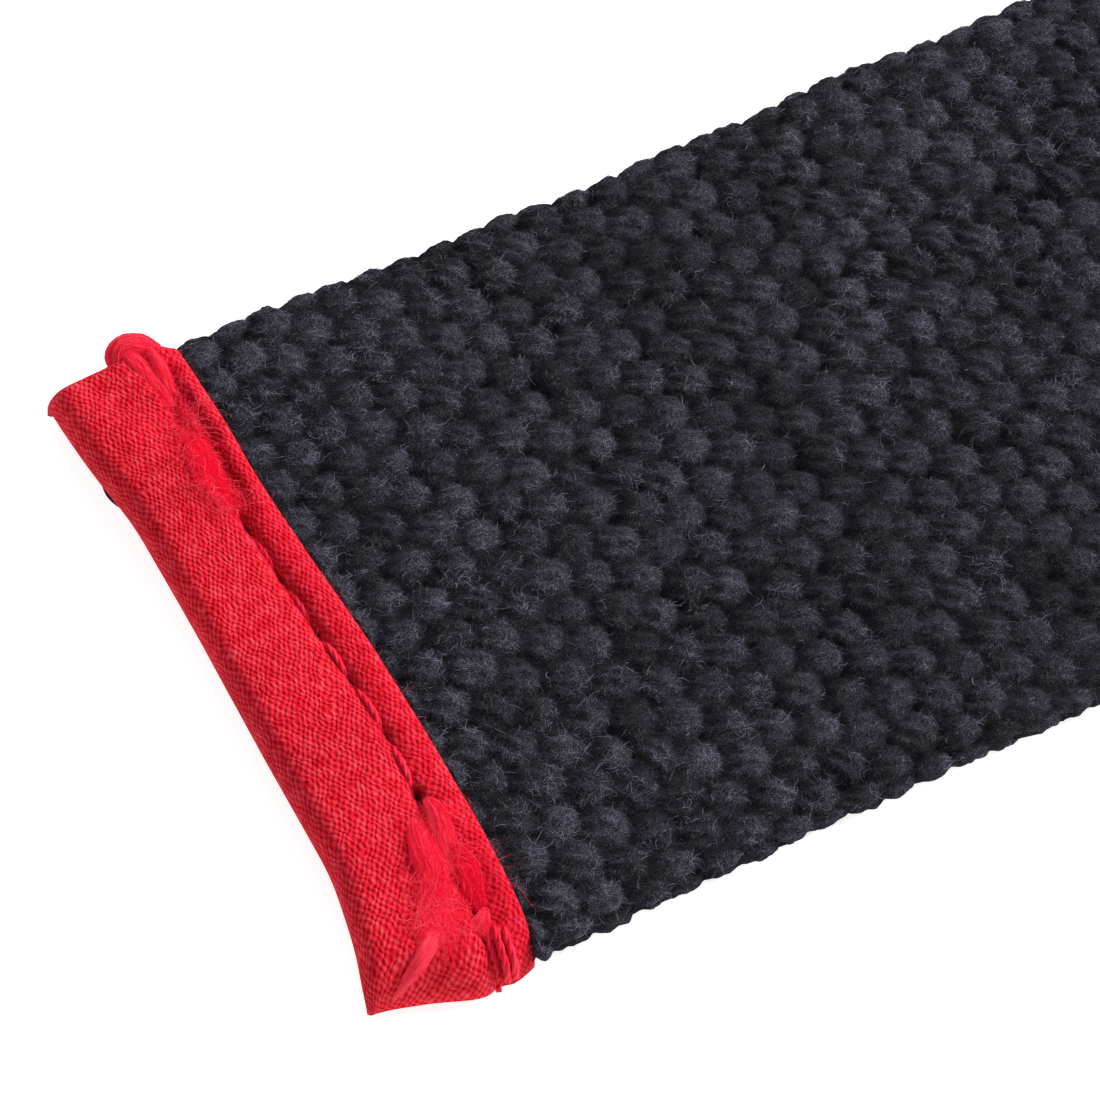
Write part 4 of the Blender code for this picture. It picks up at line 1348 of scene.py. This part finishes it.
me = bpy.data.meshes.new("floor")
r = 3.0
me.from_pydata([(-r, -r, -0.0004), (r, -r, -0.0004), (r, r, -0.0004), (-r, r, -0.0004)], [], [(0, 1, 2, 3)])
floor = bpy.data.objects.new("floor", me)
bpy.context.scene.collection.objects.link(floor)
me.materials.append(floor_material())

world = bpy.data.worlds.new("studio")
world.use_nodes = True
world.node_tree.nodes["Background"].inputs[0].default_value = (1.0, 1.0, 1.0, 1.0)
world.node_tree.nodes["Background"].inputs[1].default_value = 0.28
bpy.context.scene.world = world

AZ, EL, ROLL = math.radians(-28.47), math.radians(58.37), math.radians(1.28)
DIST = 192.56
fwd = np.array([-math.sin(AZ) * math.cos(EL), math.cos(AZ) * math.cos(EL), -math.sin(EL)])
rt = np.array([math.cos(AZ), math.sin(AZ), 0.0])
up = np.cross(rt, fwd)
rt2 = rt * math.cos(ROLL) + up * math.sin(ROLL)
up2 = -rt * math.sin(ROLL) + up * math.cos(ROLL)
target = np.array([18.155, 0.982, 0.0])
eye_pos = to_world(target - fwd * DIST)
cam = bpy.data.cameras.new("camera")
cam.sensor_width = 36.0
cam.lens = 36.0 * (20.395 * DIST) / 1100.0
cam.clip_start = 0.005
cam.clip_end = 20.0
cam_ob = bpy.data.objects.new("camera", cam)
bpy.context.scene.collection.objects.link(cam_ob)
rot = Matrix((tuple(rt2), tuple(up2), tuple(-fwd))).transposed().to_4x4()
cam_ob.matrix_world = Matrix.Translation(Vector(eye_pos)) @ rot
bpy.context.scene.camera = cam_ob

h_fwd = np.array([-math.sin(AZ), math.cos(AZ), 0.0])


def area(name, direction, dist, size, power, colour=(1, 1, 1), aim=(-0.03, 0.0, 0.0)):
    li = bpy.data.lights.new(name, "AREA")
    li.shape = "DISK"
    li.size = size
    li.energy = power
    li.color = colour
    ob = bpy.data.objects.new(name, li)
    bpy.context.scene.collection.objects.link(ob)
    d = np.array(direction, float)
    d /= np.linalg.norm(d)
    pos = Vector(np.array(aim) + d * dist)
    ob.location = pos
    ob.rotation_euler = (Vector(aim) - pos).to_track_quat("-Z", "Y").to_euler()
    return ob


area("key", rt * 0.95 + h_fwd * 0.30 + np.array([0, 0, 0.68]), 0.9, 0.30, 13.5, (0.95, 0.97, 1.0))
area("back_fill", -rt * 0.3 + h_fwd * 0.9 + np.array([0, 0, 0.9]), 1.0, 0.6, 1.8, (1.0, 0.97, 0.94))

sc = bpy.context.scene
sc.view_settings.view_transform = "Standard"
sc.view_settings.look = "None"
sc.view_settings.exposure = 0.0
sc.view_settings.gamma = 1.0
